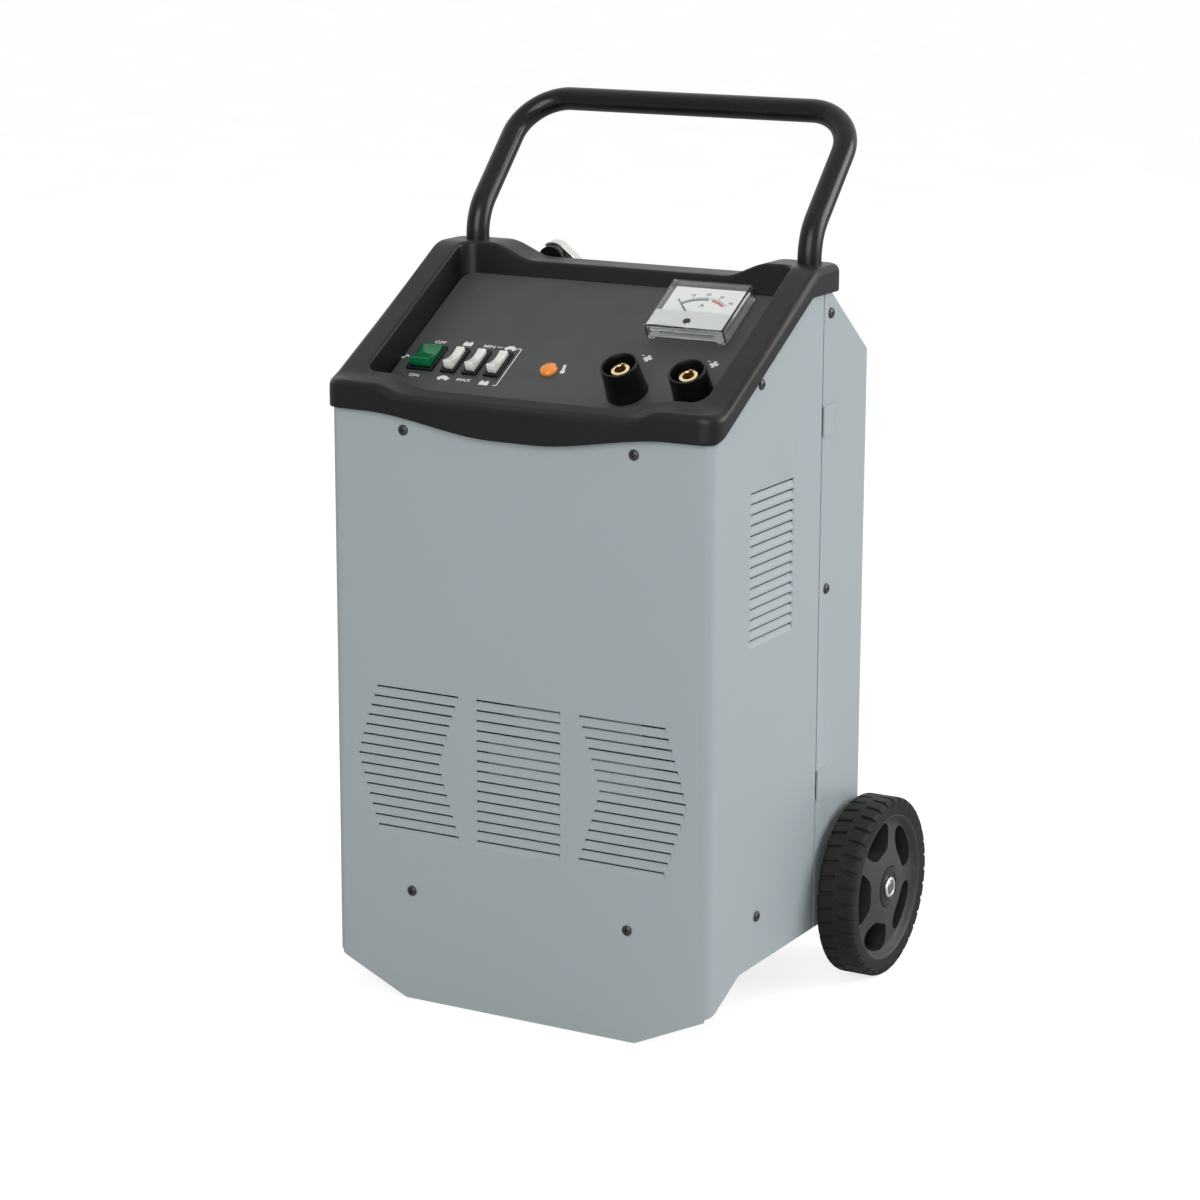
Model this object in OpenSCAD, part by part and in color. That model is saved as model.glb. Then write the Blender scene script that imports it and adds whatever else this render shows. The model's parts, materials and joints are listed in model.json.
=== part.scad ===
// Wheeled battery charger and engine starter: sheet cabinet, moulded top with a sunk control panel,
// bent tube handle and two wheels. Millimetres. +Z is up and -Y is the front.
// The origin is the bottom centre of the whole object. Modules draw in the cabinet's own frame,
// where the front face is y = 0 and the floor is z = 0, and place() moves them to the origin.

/* [Cabinet] */
// Width of the sheet cabinet
cab_w = 350; // [300:1:420]
// Depth from the front face to the back face
cab_d = 268.4; // [250:0.1:320]
// Height at which the top bezel starts, at the front corners
body_h = 490.8; // [420:0.1:600]
// Thickness of the cabinet sheet
sheet_t = 1.2; // [0.8:0.1:1.5]
// Outer radius of the two front bends
corner_r = 9.5; // [5:0.5:14]
// Distance from the front face to the seam between shell and rear cover
seam_y = 186.4; // [170:0.1:200]
// Height of the lower edge of the sides
side_bottom_z = 53.4; // [45:0.1:60]
// Width of the straight foot at the floor
foot_w = 215.2; // [180:0.1:250]
// Height of the cut corner of the foot at the front bend
foot_rise = 30.6; // [20:0.1:35]
// How far the cut corner runs back along the side
foot_run = 50; // [35:1:60]
// Depth of the folded lip that stands on the floor
foot_fold = 15; // [10:1:20]

/* [Louvres] */
// Louvres in each column
louvre_n = 15; // [5:1:16]
// Spacing of the louvres
louvre_pitch = 8.4; // [7.8:0.1:9]
// Height of the open slot over each pressed lip
louvre_gap = 2.1; // [1.5:0.1:2.5]
// Height of one louvre, from the slot to the lip's root
louvre_h = 6.6; // [5:0.1:7.4]
// How far the lip is pressed inwards
louvre_d = 2.4; // [1.5:0.1:3]
// Height of the highest front slot
front_louvre_z = 264.4; // [250:0.1:300]
// Length of a louvre in the outer and middle columns
front_louvre_l = 79; // [60:0.5:85]
// Clear width between columns at their top end
front_louvre_rib = 15.6; // [12:0.1:24]
// Sideways step of the outer columns at mid height
front_louvre_shift = 18.5; // [0:0.5:24]
// Height of the highest side slot
side_louvre_z = 443.6; // [400:0.1:460]
// Start of the side louvres, from the front face
side_louvre_y = 60.4; // [50:0.1:70]
// Length of the side louvres
side_louvre_l = 76.5; // [60:0.5:90]

/* [Top bezel] */
// Slope of the control panel, in degrees from the floor
panel_slope = 30.4; // [25:0.1:35]
// Height of the side rails
rail_h = 17.2; // [14:0.1:22]
// Width of the side rails
rail_w = 25; // [20:0.5:30]
// Depth of the tray, square to the control panel
tray_depth = 25; // [15:0.5:30]
// Overhang of the bezel at the sides
over_side = 3.6; // [3.4:0.1:6]
// Overhang of the bezel at the front corners
over_front = 6; // [4:0.1:9]
// Extra forward bulge of the lip at mid width
lip_bulge = 2; // [0:0.5:6]
// Wall of the moulding
bezel_wall = 3; // [2:0.1:3.2]
// Plan radius of the front corners
bezel_front_r = 17; // [14:0.5:18]
// Plan radius of the rear corners
bezel_rear_r = 12; // [8:1:16]
// Depth of the bezel from the cabinet's front face to its back edge
bezel_d = 214; // [205:1:230]
// Place of the tray's rear wall, from the front face
tray_back_y = 176; // [165:1:180]
// Rise of the lip's top at the corners over its middle
lip_dip = 11.8; // [0:0.1:16]
// Rise of the lip's lower edge at the corners over its middle
lip_sag = 13.3; // [0:0.1:18]
// Height of the shoulders over the low rear rim
shoulder_h = 12.5; // [6:0.1:16]

/* [Handle] */
// Outside diameter of the handle tube
tube_d = 19.5; // [16:0.5:22]
// Wall of the handle tube
tube_t = 1.5; // [1:0.1:2.5]
// Distance of the legs from the cabinet sides
leg_inset = 19.8; // [16:0.1:26]
// Distance of the legs from the front face
leg_y = 198; // [194:0.5:200]
// Drop of the legs' lower ends below the cabinet's back edge
leg_drop = 206.6; // [189:0.1:229]
// Rise of the lower bend's corner point over the cabinet's back edge
bend_rise = 98.4; // [86:0.1:131]
// Rise of the grip bar over the lower bend's corner point
grip_rise = 91.2; // [70:0.1:120]
// Lean of the upper legs, in degrees from the floor
lean = 46.4; // [40:0.1:60]
// Centre-line radius of the lower bends
low_bend_r = 45; // [30:1:50]
// Centre-line radius of the grip corners
grip_bend_r = 42; // [30:1:60]

/* [Wheels] */
// Wheel diameter
wheel_d = 152; // [130:1:180]
// Wheel width
wheel_w = 33; // [26:1:40]
// Distance of the axle from the front face
axle_y = 252.7; // [235:0.1:256]
// Axle diameter
axle_d = 12; // [10:0.5:14]
// Gap between the cabinet side and the wheel
wheel_gap = 6; // [4:0.5:10]
// Radial clearance of the bush on the axle
bush_play = 0.08; // [0.05:0.01:0.1]
// Thickness of the tyre
tyre_t = 14; // [10:0.5:18]
// Lugs in each of the two rows
lug_n = 36; // [24:1:40]
// Depth of the grooves between lugs
lug_depth = 2.2; // [1.5:0.1:3]
// Width of the grooves between lugs
lug_gap = 2.6; // [2:0.1:4]
// Spokes of the wheel
spoke_n = 5; // [4:1:6]

/* [Control panel] */
// Thickness of the panel plate
panel_t = 2; // [1.5:0.1:3]
// Pitch of the three narrow switches
switch_pitch = 20.4; // [18:0.1:24]
// Distance of the switches up the slope
switch_s = 86; // [80:0.5:95]
// Width of a narrow switch
narrow_w = 14.2; // [13:0.1:16]
// Width of the two-pole switch
wide_w = 25; // [23:0.5:28]
// Length of every switch
switch_l = 31; // [28:0.5:32]
// Swing of a rocker from one side to the other, in degrees
rocker_swing = 20; // [14:1:24]
// Diameter of the pilot lamp
lamp_d = 14.7; // [12:0.1:16]
// Spacing of the output sockets
socket_pitch = 60; // [50:1:66]
// Rim diameter of an output socket
socket_d = 30.6; // [28:0.1:32]
// Height of an output socket over the panel
socket_h = 28; // [22:0.5:32]
// Bore of the brass insert
socket_bore_d = 9.2; // [9:0.1:10]
// Width of the meter
meter_w = 71.5; // [66:0.5:76]
// Length of the meter up the slope
meter_l = 61; // [56:0.5:64]
// Height of the meter over the panel
meter_h = 13.5; // [12:0.5:16]
// Sweep of the needle, in degrees
needle_sweep = 84; // [70:1:90]

/* [Inside] */
// Thickness of the base tray
base_t = 1.6; // [1.2:0.1:2]
// Height of the base tray's flanges
base_flange_h = 56; // [50:1:70]
// Width of the transformer's laminations
core_w = 156; // [130:1:170]
// Height of the transformer's laminations
core_h = 130; // [110:1:140]
// Thickness of the transformer's stack
core_t = 90; // [70:1:100]

/* [Hidden] */
$fn = 48;

eps = 0.01;
fit = 0.3; // clearance between parts that lie in each other
hx = cab_w / 2;
slope_t = tan(panel_slope);
slope_c = cos(panel_slope);

// Heights that follow the body height
rail_z0 = body_h + rail_h; // top of the side rails, carried forward to y = 0
shoulder_y = 167;
shoulder_z = rail_z0 + slope_t * shoulder_y;
rear_rim_z = shoulder_z - shoulder_h;
lip_top_z = body_h + 11.7;
lip_low_z = body_h - lip_sag;
side_low_top = shoulder_z - 22; // level lower edge beside the shoulders
panel_z0 = rail_z0 - tray_depth / slope_c; // panel surface, carried forward to y = 0

// Rear cover outline, in the side view
cover_slope = 0.7926;
back_top_z = body_h + 37.8;
leg_bottom_z = back_top_z - leg_drop;
bend_z = back_top_z + bend_rise;
cover_y0 = seam_y + 0.2;
function cover_z(y) = back_top_z + (cab_d - y) * cover_slope;

// Bezel outline in plan
bx = hx + over_side;
tray_x = bx - rail_w;
tray_front_y = 6.5;
tray_corner_y = 20;
tray_r = 12;
draft = 1.6;
ledge = 8;
outer_round = 7;
inner_round = 3;

// Wheels and origin
wheel_r = wheel_d / 2;
wheel_x0 = hx + wheel_gap;
rim_r = wheel_r - tyre_t;
y_front = -(over_front + lip_bulge);
y_back = axle_y + wheel_r;

// Screw places
front_screw_x = [104.7, 100.7];
front_screw_z = [body_h - 13.5, 93.6];
side_screw = [[75.5, body_h + 36.1], [79.1, 94.7]];
leg_screw_z = [shoulder_z - 39.1, leg_bottom_z + 18.7];
screw_d = 4.6; // holes
thread_d = 3.6; // shanks
boss_w = 13;
head_d = 8.6;

// Base tray
base_z = side_bottom_z + 1.6;
base_x = hx - sheet_t - 2 * fit - sheet_t;

// Control panel places: x and distance up the slope
mains_x = -128.4;
narrow_x0 = -101.6;
lamp_pos = [-13.5, 85.5];
socket_pos = [66, 68.5];
meter_pos = [86.7, 166.5];

// ---------------------------------------------------------------- helpers

module place() translate([0, -(y_front + y_back) / 2, 0]) children();
module on_panel(x = 0, s = 0) translate([0, 0, panel_z0]) rotate([panel_slope, 0, 0]) translate([x, s, 0]) children();
module both() for (side = [0, 1]) mirror([side, 0, 0]) children();
module along_x(l) rotate([90, 0, 90]) linear_extrude(l, center = true) children(); // draws (y, z)
module along_y(l) rotate([90, 0, 0]) linear_extrude(l, center = true) children(); // draws (x, z)

function arc(cx, cy, r, a0, a1, n = 6) = [for (i = [0:n]) let (a = a0 + (a1 - a0) * i / n) [cx + r * cos(a), cy + r * sin(a)]];
function rr(w, l, r, n = 6) = concat(
    arc(w / 2 - r, l / 2 - r, r, 0, 90, n), arc(-w / 2 + r, l / 2 - r, r, 90, 180, n),
    arc(-w / 2 + r, -l / 2 + r, r, 180, 270, n), arc(w / 2 - r, -l / 2 + r, r, 270, 360, n));
module rrect(w, l, r, n = 6) polygon(rr(w, l, r, n));

function step(a, b, v) = let (t = max(0, min(1, (v - a) / (b - a)))) t * t * (3 - 2 * t);
function soft_min(a, b, k) = let (h = max(k - abs(a - b), 0) / k) min(a, b) - h * h * k / 4;
function soft_max(a, b, k) = -soft_min(-a, -b, k);

// ---------------------------------------------------------------- cabinet

// Half plan of the front shell: front face, bend, side, step and lap behind the rear cover.
lap_out = sheet_t + fit;
lap_end = seam_y + 22;
function shell_half() = concat(
    [[0, 0]], arc(hx - corner_r, corner_r, corner_r, -90, 0, 8),
    [[hx, seam_y - 1.6], [hx - lap_out, seam_y], [hx - lap_out, lap_end],
     [hx - lap_out - sheet_t, lap_end], [hx - lap_out - sheet_t, seam_y - 0.4], [hx - sheet_t, seam_y - 2]],
    arc(hx - corner_r, corner_r, corner_r - sheet_t, 0, -90, 8), [[0, sheet_t]]);

// Everything between the upper and lower edge of the shell, in the side view.
function shell_side() = [
    [-1, -1], [sheet_t, -1], [sheet_t, foot_rise], [foot_run, side_bottom_z], [seam_y + 40, side_bottom_z],
    [seam_y + 40, cover_z(seam_y + 40) - 6], [cab_d - (side_low_top + 8 - back_top_z + 6) / cover_slope, side_low_top + 8],
    [(side_low_top - body_h) / slope_t, side_low_top + 8], [0, body_h + 6], [-1, body_h + 6]];

module louvre_bounds(half_l, y0, y1, grow) linear_extrude(4 * louvre_h, center = true)
    polygon([[-half_l - grow + y0, y0], [half_l + grow - y0, y0], [half_l + grow - y1, y1], [-half_l - grow + y1, y1]]);

// Back of the pressed lip, as a wedge that grows out of the sheet. The slot's top is z = 0.
module louvre_lip(l) intersection() {
    along_x(l + 4) polygon([[sheet_t / 2, -louvre_h - 0.7], [sheet_t, -louvre_h - 0.7],
        [louvre_d + sheet_t, -louvre_gap], [sheet_t / 2, -louvre_gap]]);
    louvre_bounds(l / 2, 0, louvre_d + sheet_t, sheet_t);
}
// The space over the lip and the slot itself.
module louvre_cut(l) intersection() {
    along_x(l + 4) polygon([[-1, -louvre_h], [0, -louvre_h], [louvre_d, -louvre_gap],
        [louvre_d + sheet_t + 1, -louvre_gap], [louvre_d + sheet_t + 1, 0], [-1, 0]]);
    louvre_bounds(l / 2, -1, louvre_d + sheet_t + 1, 0);
}
function chevron(i) = let (m = (louvre_n - 1) / 2) front_louvre_shift * (1 - pow(abs(i - m) / m, 1.12));

module louvre_field(cut) for (i = [0:louvre_n - 1]) {
    for (c = [-1, 0, 1])
        translate([c * (front_louvre_l + front_louvre_rib + chevron(i)), 0, front_louvre_z - i * louvre_pitch])
            if (cut) louvre_cut(front_louvre_l); else louvre_lip(front_louvre_l);
    for (side = [-1, 1])
        translate([side * hx, side_louvre_y + side_louvre_l / 2, side_louvre_z - i * louvre_pitch])
            rotate([0, 0, side * 90]) if (cut) louvre_cut(side_louvre_l); else louvre_lip(side_louvre_l);
}

module screw_holes_front(d) for (i = [0, 1]) for (s = [-1, 1])
    translate([s * front_screw_x[i], 0, front_screw_z[i]]) rotate([90, 0, 0]) cylinder(d = d, h = 30, center = true);
module screw_holes_side(d, l = 20) for (s = [-1, 1]) for (p = side_screw)
    translate([s * hx, p[0], p[1]]) rotate([0, 90, 0]) cylinder(d = d, h = l, center = true);
module screw_holes_leg(d, l = 20) for (s = [-1, 1]) for (z = leg_screw_z)
    translate([s * hx, leg_y, z]) rotate([0, 90, 0]) cylinder(d = d, h = l, center = true);

module front_shell() color([0.62, 0.66, 0.67]) difference() {
    union() {
        intersection() {
            linear_extrude(shoulder_z + 20) {
                polygon(shell_half());
                mirror([1, 0]) polygon(shell_half());
            }
            along_x(cab_w + 20) polygon(shell_side());
        }
        translate([-foot_w / 2 + 2, sheet_t / 2, 0]) cube([foot_w - 4, foot_fold, sheet_t]);
        louvre_field(false);
    }
    louvre_field(true);
    for (s = [-1, 1]) along_y(2 * cab_d)
        polygon([[s * foot_w / 2, -1], [s * foot_w / 2, 0], [s * (hx + 1), foot_rise * (hx + 1 - foot_w / 2) / (hx - foot_w / 2)],
            [s * (hx + 1), -1]]);
    screw_holes_front(screw_d);
    screw_holes_side(screw_d);
    screw_holes_leg(screw_d + 1.6);
}

// Rear cover: side flanges, sloped top and upright back, folded from one sheet.
clip_z = [body_h - 10.8, 176];
clip_l = 26;
clip_run = 21;
clip_out = 1.5;
fold_r = 3; // outer radius of the fold between the back and the sloped top
fold_a = atan(1 / cover_slope);
function cover_side(o) = concat(
    [[cover_y0, side_bottom_z], [cab_d - o, side_bottom_z]],
    arc(cab_d - fold_r, back_top_z - fold_r * tan(fold_a / 2), fold_r - o, 0, fold_a, 5),
    [[cover_y0 + 4, cover_z(cover_y0 + 4) - o * 1.28], [cover_y0, cover_z(cover_y0 + 4) - o * 1.28]]);

module rear_cover() color([0.65, 0.69, 0.69]) difference() {
    union() {
        difference() {
            along_x(cab_w) polygon(cover_side(0));
            translate([0, -eps, -eps]) along_x(cab_w - 2 * sheet_t) polygon(cover_side(sheet_t));
            translate([0, 0, side_bottom_z - 1]) linear_extrude(2) square([cab_w - 2 * sheet_t, 2 * (cab_d - sheet_t)], center = true);
        }
        // raised bridges at the seam, which the shell's edge slips under
        both() for (z = clip_z) translate([0, 0, z - clip_l / 2]) linear_extrude(clip_l)
            polygon([[hx - sheet_t / 2, cover_y0], [hx + clip_out, cover_y0], [hx + clip_out, cover_y0 + clip_run - 5],
                [hx, cover_y0 + clip_run], [hx - sheet_t / 2, cover_y0 + clip_run]]);
    }
    both() for (z = clip_z) translate([0, 0, z - clip_l / 2]) {
        translate([0, 0, sheet_t]) linear_extrude(clip_l - 2 * sheet_t)
            polygon([[hx - 2 * sheet_t, cover_y0 - 1], [hx + clip_out - sheet_t, cover_y0 - 1],
                [hx + clip_out - sheet_t, cover_y0 + clip_run - 6], [hx - sheet_t, cover_y0 + clip_run - 2],
                [hx - 2 * sheet_t, cover_y0 + clip_run - 2]]);
    }
    screw_holes_leg(screw_d);
    for (s = [-1, 1]) translate([s * leg_x, leg_y, back_top_z]) cylinder(d = tube_d + 2, h = 100);
    for (s = [-1, 1]) translate([s * hx, axle_y, wheel_r]) rotate([0, 90, 0]) cylinder(d = axle_d + 2, h = 20, center = true);
    for (s = [-1, 1]) translate([s * rear_screw_x, cab_d, rear_screw_z]) rotate([90, 0, 0]) cylinder(d = screw_d, h = 20, center = true);
    translate([gland_x, cab_d, gland_z]) rotate([90, 0, 0]) cylinder(d = gland_d, h = 20, center = true);
    hook_holes();
}

// Base tray: floor and four flanges, which stand inside the shell.
base_front_y = sheet_t + fit;
base_back_y = cab_d - sheet_t - fit;
base_r = corner_r + 3;
module base_tray() color([0.55, 0.58, 0.59]) difference() {
    union() {
        translate([-base_x, base_r, base_z]) cube([2 * base_x, base_back_y - base_r, base_t]);
        translate([-hx + base_r + 3, base_front_y, base_z]) cube([cab_w - 2 * base_r - 6, base_r + 5, base_t]);
        for (s = [-1, 1]) translate([s * (base_x - base_t / 2) - base_t / 2, base_r, base_z]) cube([base_t, base_back_y - base_r, base_flange_h]);
        for (y = [base_front_y, base_back_y - base_t])
            translate([-hx + base_r + 3, y, base_z]) cube([cab_w - 2 * base_r - 6, base_t, base_flange_h]);
    }
    screw_holes_front(screw_d);
    screw_holes_side(screw_d, 30);
    translate([0, axle_y, wheel_r]) rotate([0, 90, 0]) cylinder(d = axle_d + 0.2, h = cab_w + 10, center = true);
    for (s = [-1, 1]) translate([s * rear_screw_x, cab_d, rear_screw_z]) rotate([90, 0, 0]) cylinder(d = screw_d, h = 20, center = true);
    for (x = [-1, 1]) for (y = [-1, 1]) translate([x * foot_bolt_x, core_y + y * foot_bolt_y, base_z - 1]) cylinder(d = 6.4, h = base_t + 2);
    for (x = [-60:30:60]) for (y = [36, 232]) translate([x - 11, y - 2.5, base_z - 1]) cube([22, 5, base_t + 2]);
}

// ---------------------------------------------------------------- top bezel

// Height of the moulding's top skin over any point in plan.
function skin(x, y) =
    let (rail = rail_z0 + slope_t * y,
         lip = lip_top_z + lip_dip * step(94, 130, abs(x)),
         rim = rear_rim_z + shoulder_h * step(88, 130, abs(x)))
    soft_min(soft_max(rail, lip, 5), rim, 5);
// Lower edge of the outer wall.
function hem(x, y) =
    let (front = lip_low_z + lip_sag * step(18, 138, abs(x)),
         side = min(side_low_top, body_h + slope_t * max(0, y)),
         back = cover_z(bezel_d - bezel_wall) + fit)
    y < bezel_front_r * 0.6 ? max(front, y > over_front ? side : front)
    : y > bezel_d - 1 ? side + (back - side) * step(bx - 8, bx - 20, abs(x)) : side;
function panel_top(y) = panel_z0 + slope_t * y;
function tray_front(x) = tray_front_y + (tray_corner_y - tray_front_y) * step(80, 134, abs(x));

// Stations round the rim: each is [outer point, inner point] in plan.
front_n = 26;
side_n = 12;
rear_n = 22;
bend_n = 7;
function lerp(a, b, t) = a + (b - a) * t;
function front_run() = [for (i = [0:front_n - 1]) let (t = i / front_n * 2 - 1,
    xo = t * (bx - bezel_front_r), xi = t * (tray_x - tray_r))
    [[xo, -over_front - lip_bulge * (1 - t * t) ], [xi, tray_front(xi)]]];
function corner_run(so, si, ro, ri, a0) = [for (i = [0:bend_n - 1]) let (a = a0 + 90 * i / bend_n)
    [so + ro * [cos(a), sin(a)], si + ri * [cos(a), sin(a)]]];
function side_run() = [for (i = [0:side_n - 1]) let (t = i / side_n)
    [[bx, lerp(bezel_front_r - over_front, bezel_d - bezel_rear_r, t)],
     [tray_x, lerp(tray_corner_y + tray_r, tray_back_y - tray_r, t)]]];
function rear_run() = [for (i = [0:rear_n - 1]) let (t = 1 - 2 * i / rear_n)
    [[t * (bx - bezel_rear_r), bezel_d], [t * (tray_x - tray_r), tray_back_y]]];
function flip(run) = [for (i = [len(run) - 1:-1:0]) [for (p = run[i]) [-p[0], p[1]]]];
function right_front() = corner_run([bx - bezel_front_r, bezel_front_r - over_front], [tray_x - tray_r, tray_corner_y + tray_r],
    bezel_front_r, tray_r, -90);
function right_rear() = corner_run([bx - bezel_rear_r, bezel_d - bezel_rear_r], [tray_x - tray_r, tray_back_y - tray_r],
    bezel_rear_r, tray_r, 0);
function left_rear() = corner_run([-bx + bezel_rear_r, bezel_d - bezel_rear_r], [-tray_x + tray_r, tray_back_y - tray_r],
    bezel_rear_r, tray_r, 90);
function left_front() = corner_run([-bx + bezel_front_r, bezel_front_r - over_front], [-tray_x + tray_r, tray_corner_y + tray_r],
    bezel_front_r, tray_r, 180);
function left_side() = [for (i = [0:side_n - 1]) let (t = 1 - i / side_n)
    [[-bx, lerp(bezel_front_r - over_front, bezel_d - bezel_rear_r, t)],
     [-tray_x, lerp(tray_corner_y + tray_r, tray_back_y - tray_r, t)]]];
stations = concat(front_run(), right_front(), side_run(), right_rear(), rear_run(), left_rear(), left_side(), left_front());

// One section of the rim: outer wall, rounded top, tray wall, ledge, and back along the inside.
seat_drop = (panel_t + 0.15) / slope_c; // the plate lies just clear of its seat
function section(st) =
    let (o = st[0], i = st[1], w = norm(i - o), d = (i - o) / w, q = bezel_wall,
         at = function (t, z) [o[0] + d[0] * t, o[1] + d[1] * t, z],
         top = function (t) skin(o[0] + d[0] * t, o[1] + d[1] * t),
         seat = function (t) panel_top(o[1] + d[1] * t) - seat_drop,
         h = hem(o[0], o[1]),
         ro = min(outer_round, w / 2 - 1), ri = inner_round)
    concat(
        [at(0, h)],
        [for (a = [0, 22.5, 45, 67.5, 90]) let (t = ro * (1 - cos(a))) at(t, top(max(t, 0.5 * ro)) - ro * (1 - sin(a)))],
        [for (a = [0, 30, 60, 90]) let (t = w - ri * (1 - sin(a))) at(t, top(t) - ri * (1 - cos(a)))],
        [at(w + draft, seat(w + draft)), at(w + ledge, seat(w + ledge)), at(w + ledge, seat(w + ledge) - 2.5),
         at(w - q, seat(w - q) - 2.5), at(w - q, top(w - q) - q - 2), at(w - q - 2, top(w - q - 2) - q),
         at(q + 2, top(q + 2) - q), at(q, top(q) - q - 2.5), at(q, h)]);

module top_bezel() color([0.12, 0.125, 0.125]) {
    rings = [for (st = stations) section(st)];
    n = len(rings);
    k = len(rings[0]);
    points = [for (r = rings) each r];
    faces = [for (i = [0:n - 1]) for (j = [0:k - 1]) let (a = i * k + j, b = i * k + (j + 1) % k,
        c = ((i + 1) % n) * k + (j + 1) % k, e = ((i + 1) % n) * k + j) each [[a, b, c], [a, c, e]]];
    difference() {
        union() {
            polyhedron(points, faces);
            // bosses behind the sheet, which the front and side screws bite into
            for (s = [-1, 1]) {
                translate([s * front_screw_x[0] - boss_w / 2, sheet_t + fit, front_screw_z[0] - boss_w / 2])
                    cube([boss_w, tray_front(front_screw_x[0]) - sheet_t - fit, boss_w]);
                translate([s * (tray_x + 1 + hx - sheet_t - fit) / 2, side_screw[0][0], side_screw[0][1]])
                    cube([hx - sheet_t - fit - tray_x - 1, boss_w, boss_w], center = true);
            }
        }
        for (s = [-1, 1]) translate([s * (hx - leg_inset), leg_y, rear_rim_z - 15]) cylinder(d = tube_d + 2 * fit, h = 40);
        for (s = [-1, 1]) {
            translate([s * front_screw_x[0], 0, front_screw_z[0]]) rotate([90, 0, 0]) cylinder(d = thread_d + 0.2, h = 18, center = true);
            translate([s * hx, side_screw[0][0], side_screw[0][1]]) rotate([0, 90, 0]) cylinder(d = thread_d + 0.2, h = 20, center = true);
        }
    }
}

// ---------------------------------------------------------------- control panel plate

plate_x = tray_x - draft - 0.4;
function plate_front(x) = (tray_front(x) + draft + 0.6) / slope_c;
plate_back = (tray_back_y - draft - 1.6) / slope_c;
function plate_outline() = concat(
    [for (i = [0:24]) let (x = lerp(-plate_x + 11, plate_x - 11, i / 24)) [x, plate_front(x)]],
    [for (i = [1:6]) let (a = -90 + 90 * i / 6) [plate_x - 11 + 11 * cos(a), plate_front(plate_x) + 12 + 12 * sin(a)]],
    arc(plate_x - 11, plate_back - 11, 11, 0, 90, 6), arc(-plate_x + 11, plate_back - 11, 11, 90, 180, 6),
    [for (i = [0:5]) let (a = 180 + 90 * i / 6) [-plate_x + 11 + 11 * cos(a), plate_front(plate_x) + 12 + 12 * sin(a)]]);

narrow_names = ["charge", "voltage", "rate"];
function narrow_x(i) = narrow_x0 + i * switch_pitch;
function socket_x(i) = socket_pos[0] + i * socket_pitch;
socket_neck_d = 22;
meter_barrel_d = 46;
housing_in = 1.6; // how much smaller the switch body is than its bezel, on each side

module control_panel() color([0.27, 0.28, 0.285]) on_panel() difference() {
    translate([0, 0, -panel_t]) linear_extrude(panel_t) polygon(plate_outline());
    translate([0, 0, -panel_t - 1]) {
        translate([mains_x, switch_s, 0]) linear_extrude(panel_t + 2) square([wide_w - 2 * housing_in + 0.3, switch_l - 2 * housing_in + 0.3], center = true);
        for (i = [0:2]) translate([narrow_x(i), switch_s, 0]) linear_extrude(panel_t + 2)
            square([narrow_w - 2 * housing_in + 0.3, switch_l - 2 * housing_in + 0.3], center = true);
        translate(lamp_pos) cylinder(d = lamp_d - 2.3, h = panel_t + 2);
        for (i = [0, 1]) translate([socket_x(i), socket_pos[1]]) cylinder(d = socket_neck_d + 0.4, h = panel_t + 2);
        translate(meter_pos) cylinder(d = meter_barrel_d + 1, h = panel_t + 2);
        for (s = [-1, 1]) translate([meter_pos[0] + s * 29, meter_pos[1] - 22]) cylinder(d = 3.4, h = panel_t + 2);
    }
}

// ---------------------------------------------------------------- handle

leg_x = hx - leg_inset;
// The tube's route drawn as a rod of diameter d: leg, low bend, lean, grip corner and grip. The bends
// are a hair fatter than the straights, which end inside them, so every joint is a clean step.
bend_fat = 0.3;
bend_lap = 0.3;
low_turn = 90 - lean;
low_cut = low_bend_r * tan(low_turn / 2);
knee_z = bend_z - low_cut;
lean_l = grip_rise / sin(lean) - low_cut - grip_bend_r;
grip_z = bend_z + grip_rise;
grip_y = leg_y + grip_rise / tan(lean);
module rod(d, l) translate([0, 0, -bend_lap]) cylinder(d = d, h = l + 2 * bend_lap);
module rod_bend(d, r, a) rotate_extrude(angle = a) translate([r, 0]) circle(d = d + bend_fat);
module handle_half(d, more) translate([leg_x, leg_y + low_bend_r, knee_z]) {
    translate([0, -low_bend_r, leg_bottom_z - more - knee_z]) cylinder(d = d, h = knee_z - leg_bottom_z + more + bend_lap);
    rotate([90, 0, -90]) rod_bend(d, low_bend_r, low_turn);
    rotate([-low_turn, 0, 0]) translate([0, -low_bend_r, 0]) {
        rod(d, lean_l);
        translate([-grip_bend_r, 0, lean_l]) rotate([90, 0, 0]) rod_bend(d, grip_bend_r, 90);
    }
}
module handle_route(d, more) {
    handle_half(d, more);
    mirror([1, 0, 0]) handle_half(d, more);
    translate([0, grip_y, grip_z]) rotate([0, 90, 0]) cylinder(d = d, h = 2 * (leg_x - grip_bend_r + bend_lap), center = true);
}
module handle_tube() color([0.07, 0.07, 0.075]) difference() {
    handle_route(tube_d, 0);
    handle_route(tube_d - 2 * tube_t, 1);
    for (s = [-1, 1]) for (z = leg_screw_z) translate([s * leg_x, leg_y, z]) rotate([0, 90, 0]) cylinder(d = 6.2, h = tube_d + 4, center = true);
}
spacer_x1 = hx - lap_out - sheet_t - 0.1;
module handle_spacers() color([0.6, 0.6, 0.6]) difference() {
    for (s = [-1, 1]) for (z = leg_screw_z) translate([s * (leg_x + spacer_x1) / 2, leg_y, z]) rotate([0, 90, 0])
        cylinder(d = 14, h = spacer_x1 - leg_x, center = true);
    for (s = [-1, 1]) translate([s * leg_x, leg_y, leg_bottom_z]) cylinder(d = tube_d + 0.2, h = shoulder_z - leg_bottom_z);
    screw_holes_leg(6.2, 60);
}

// ---------------------------------------------------------------- axle and wheels

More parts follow.
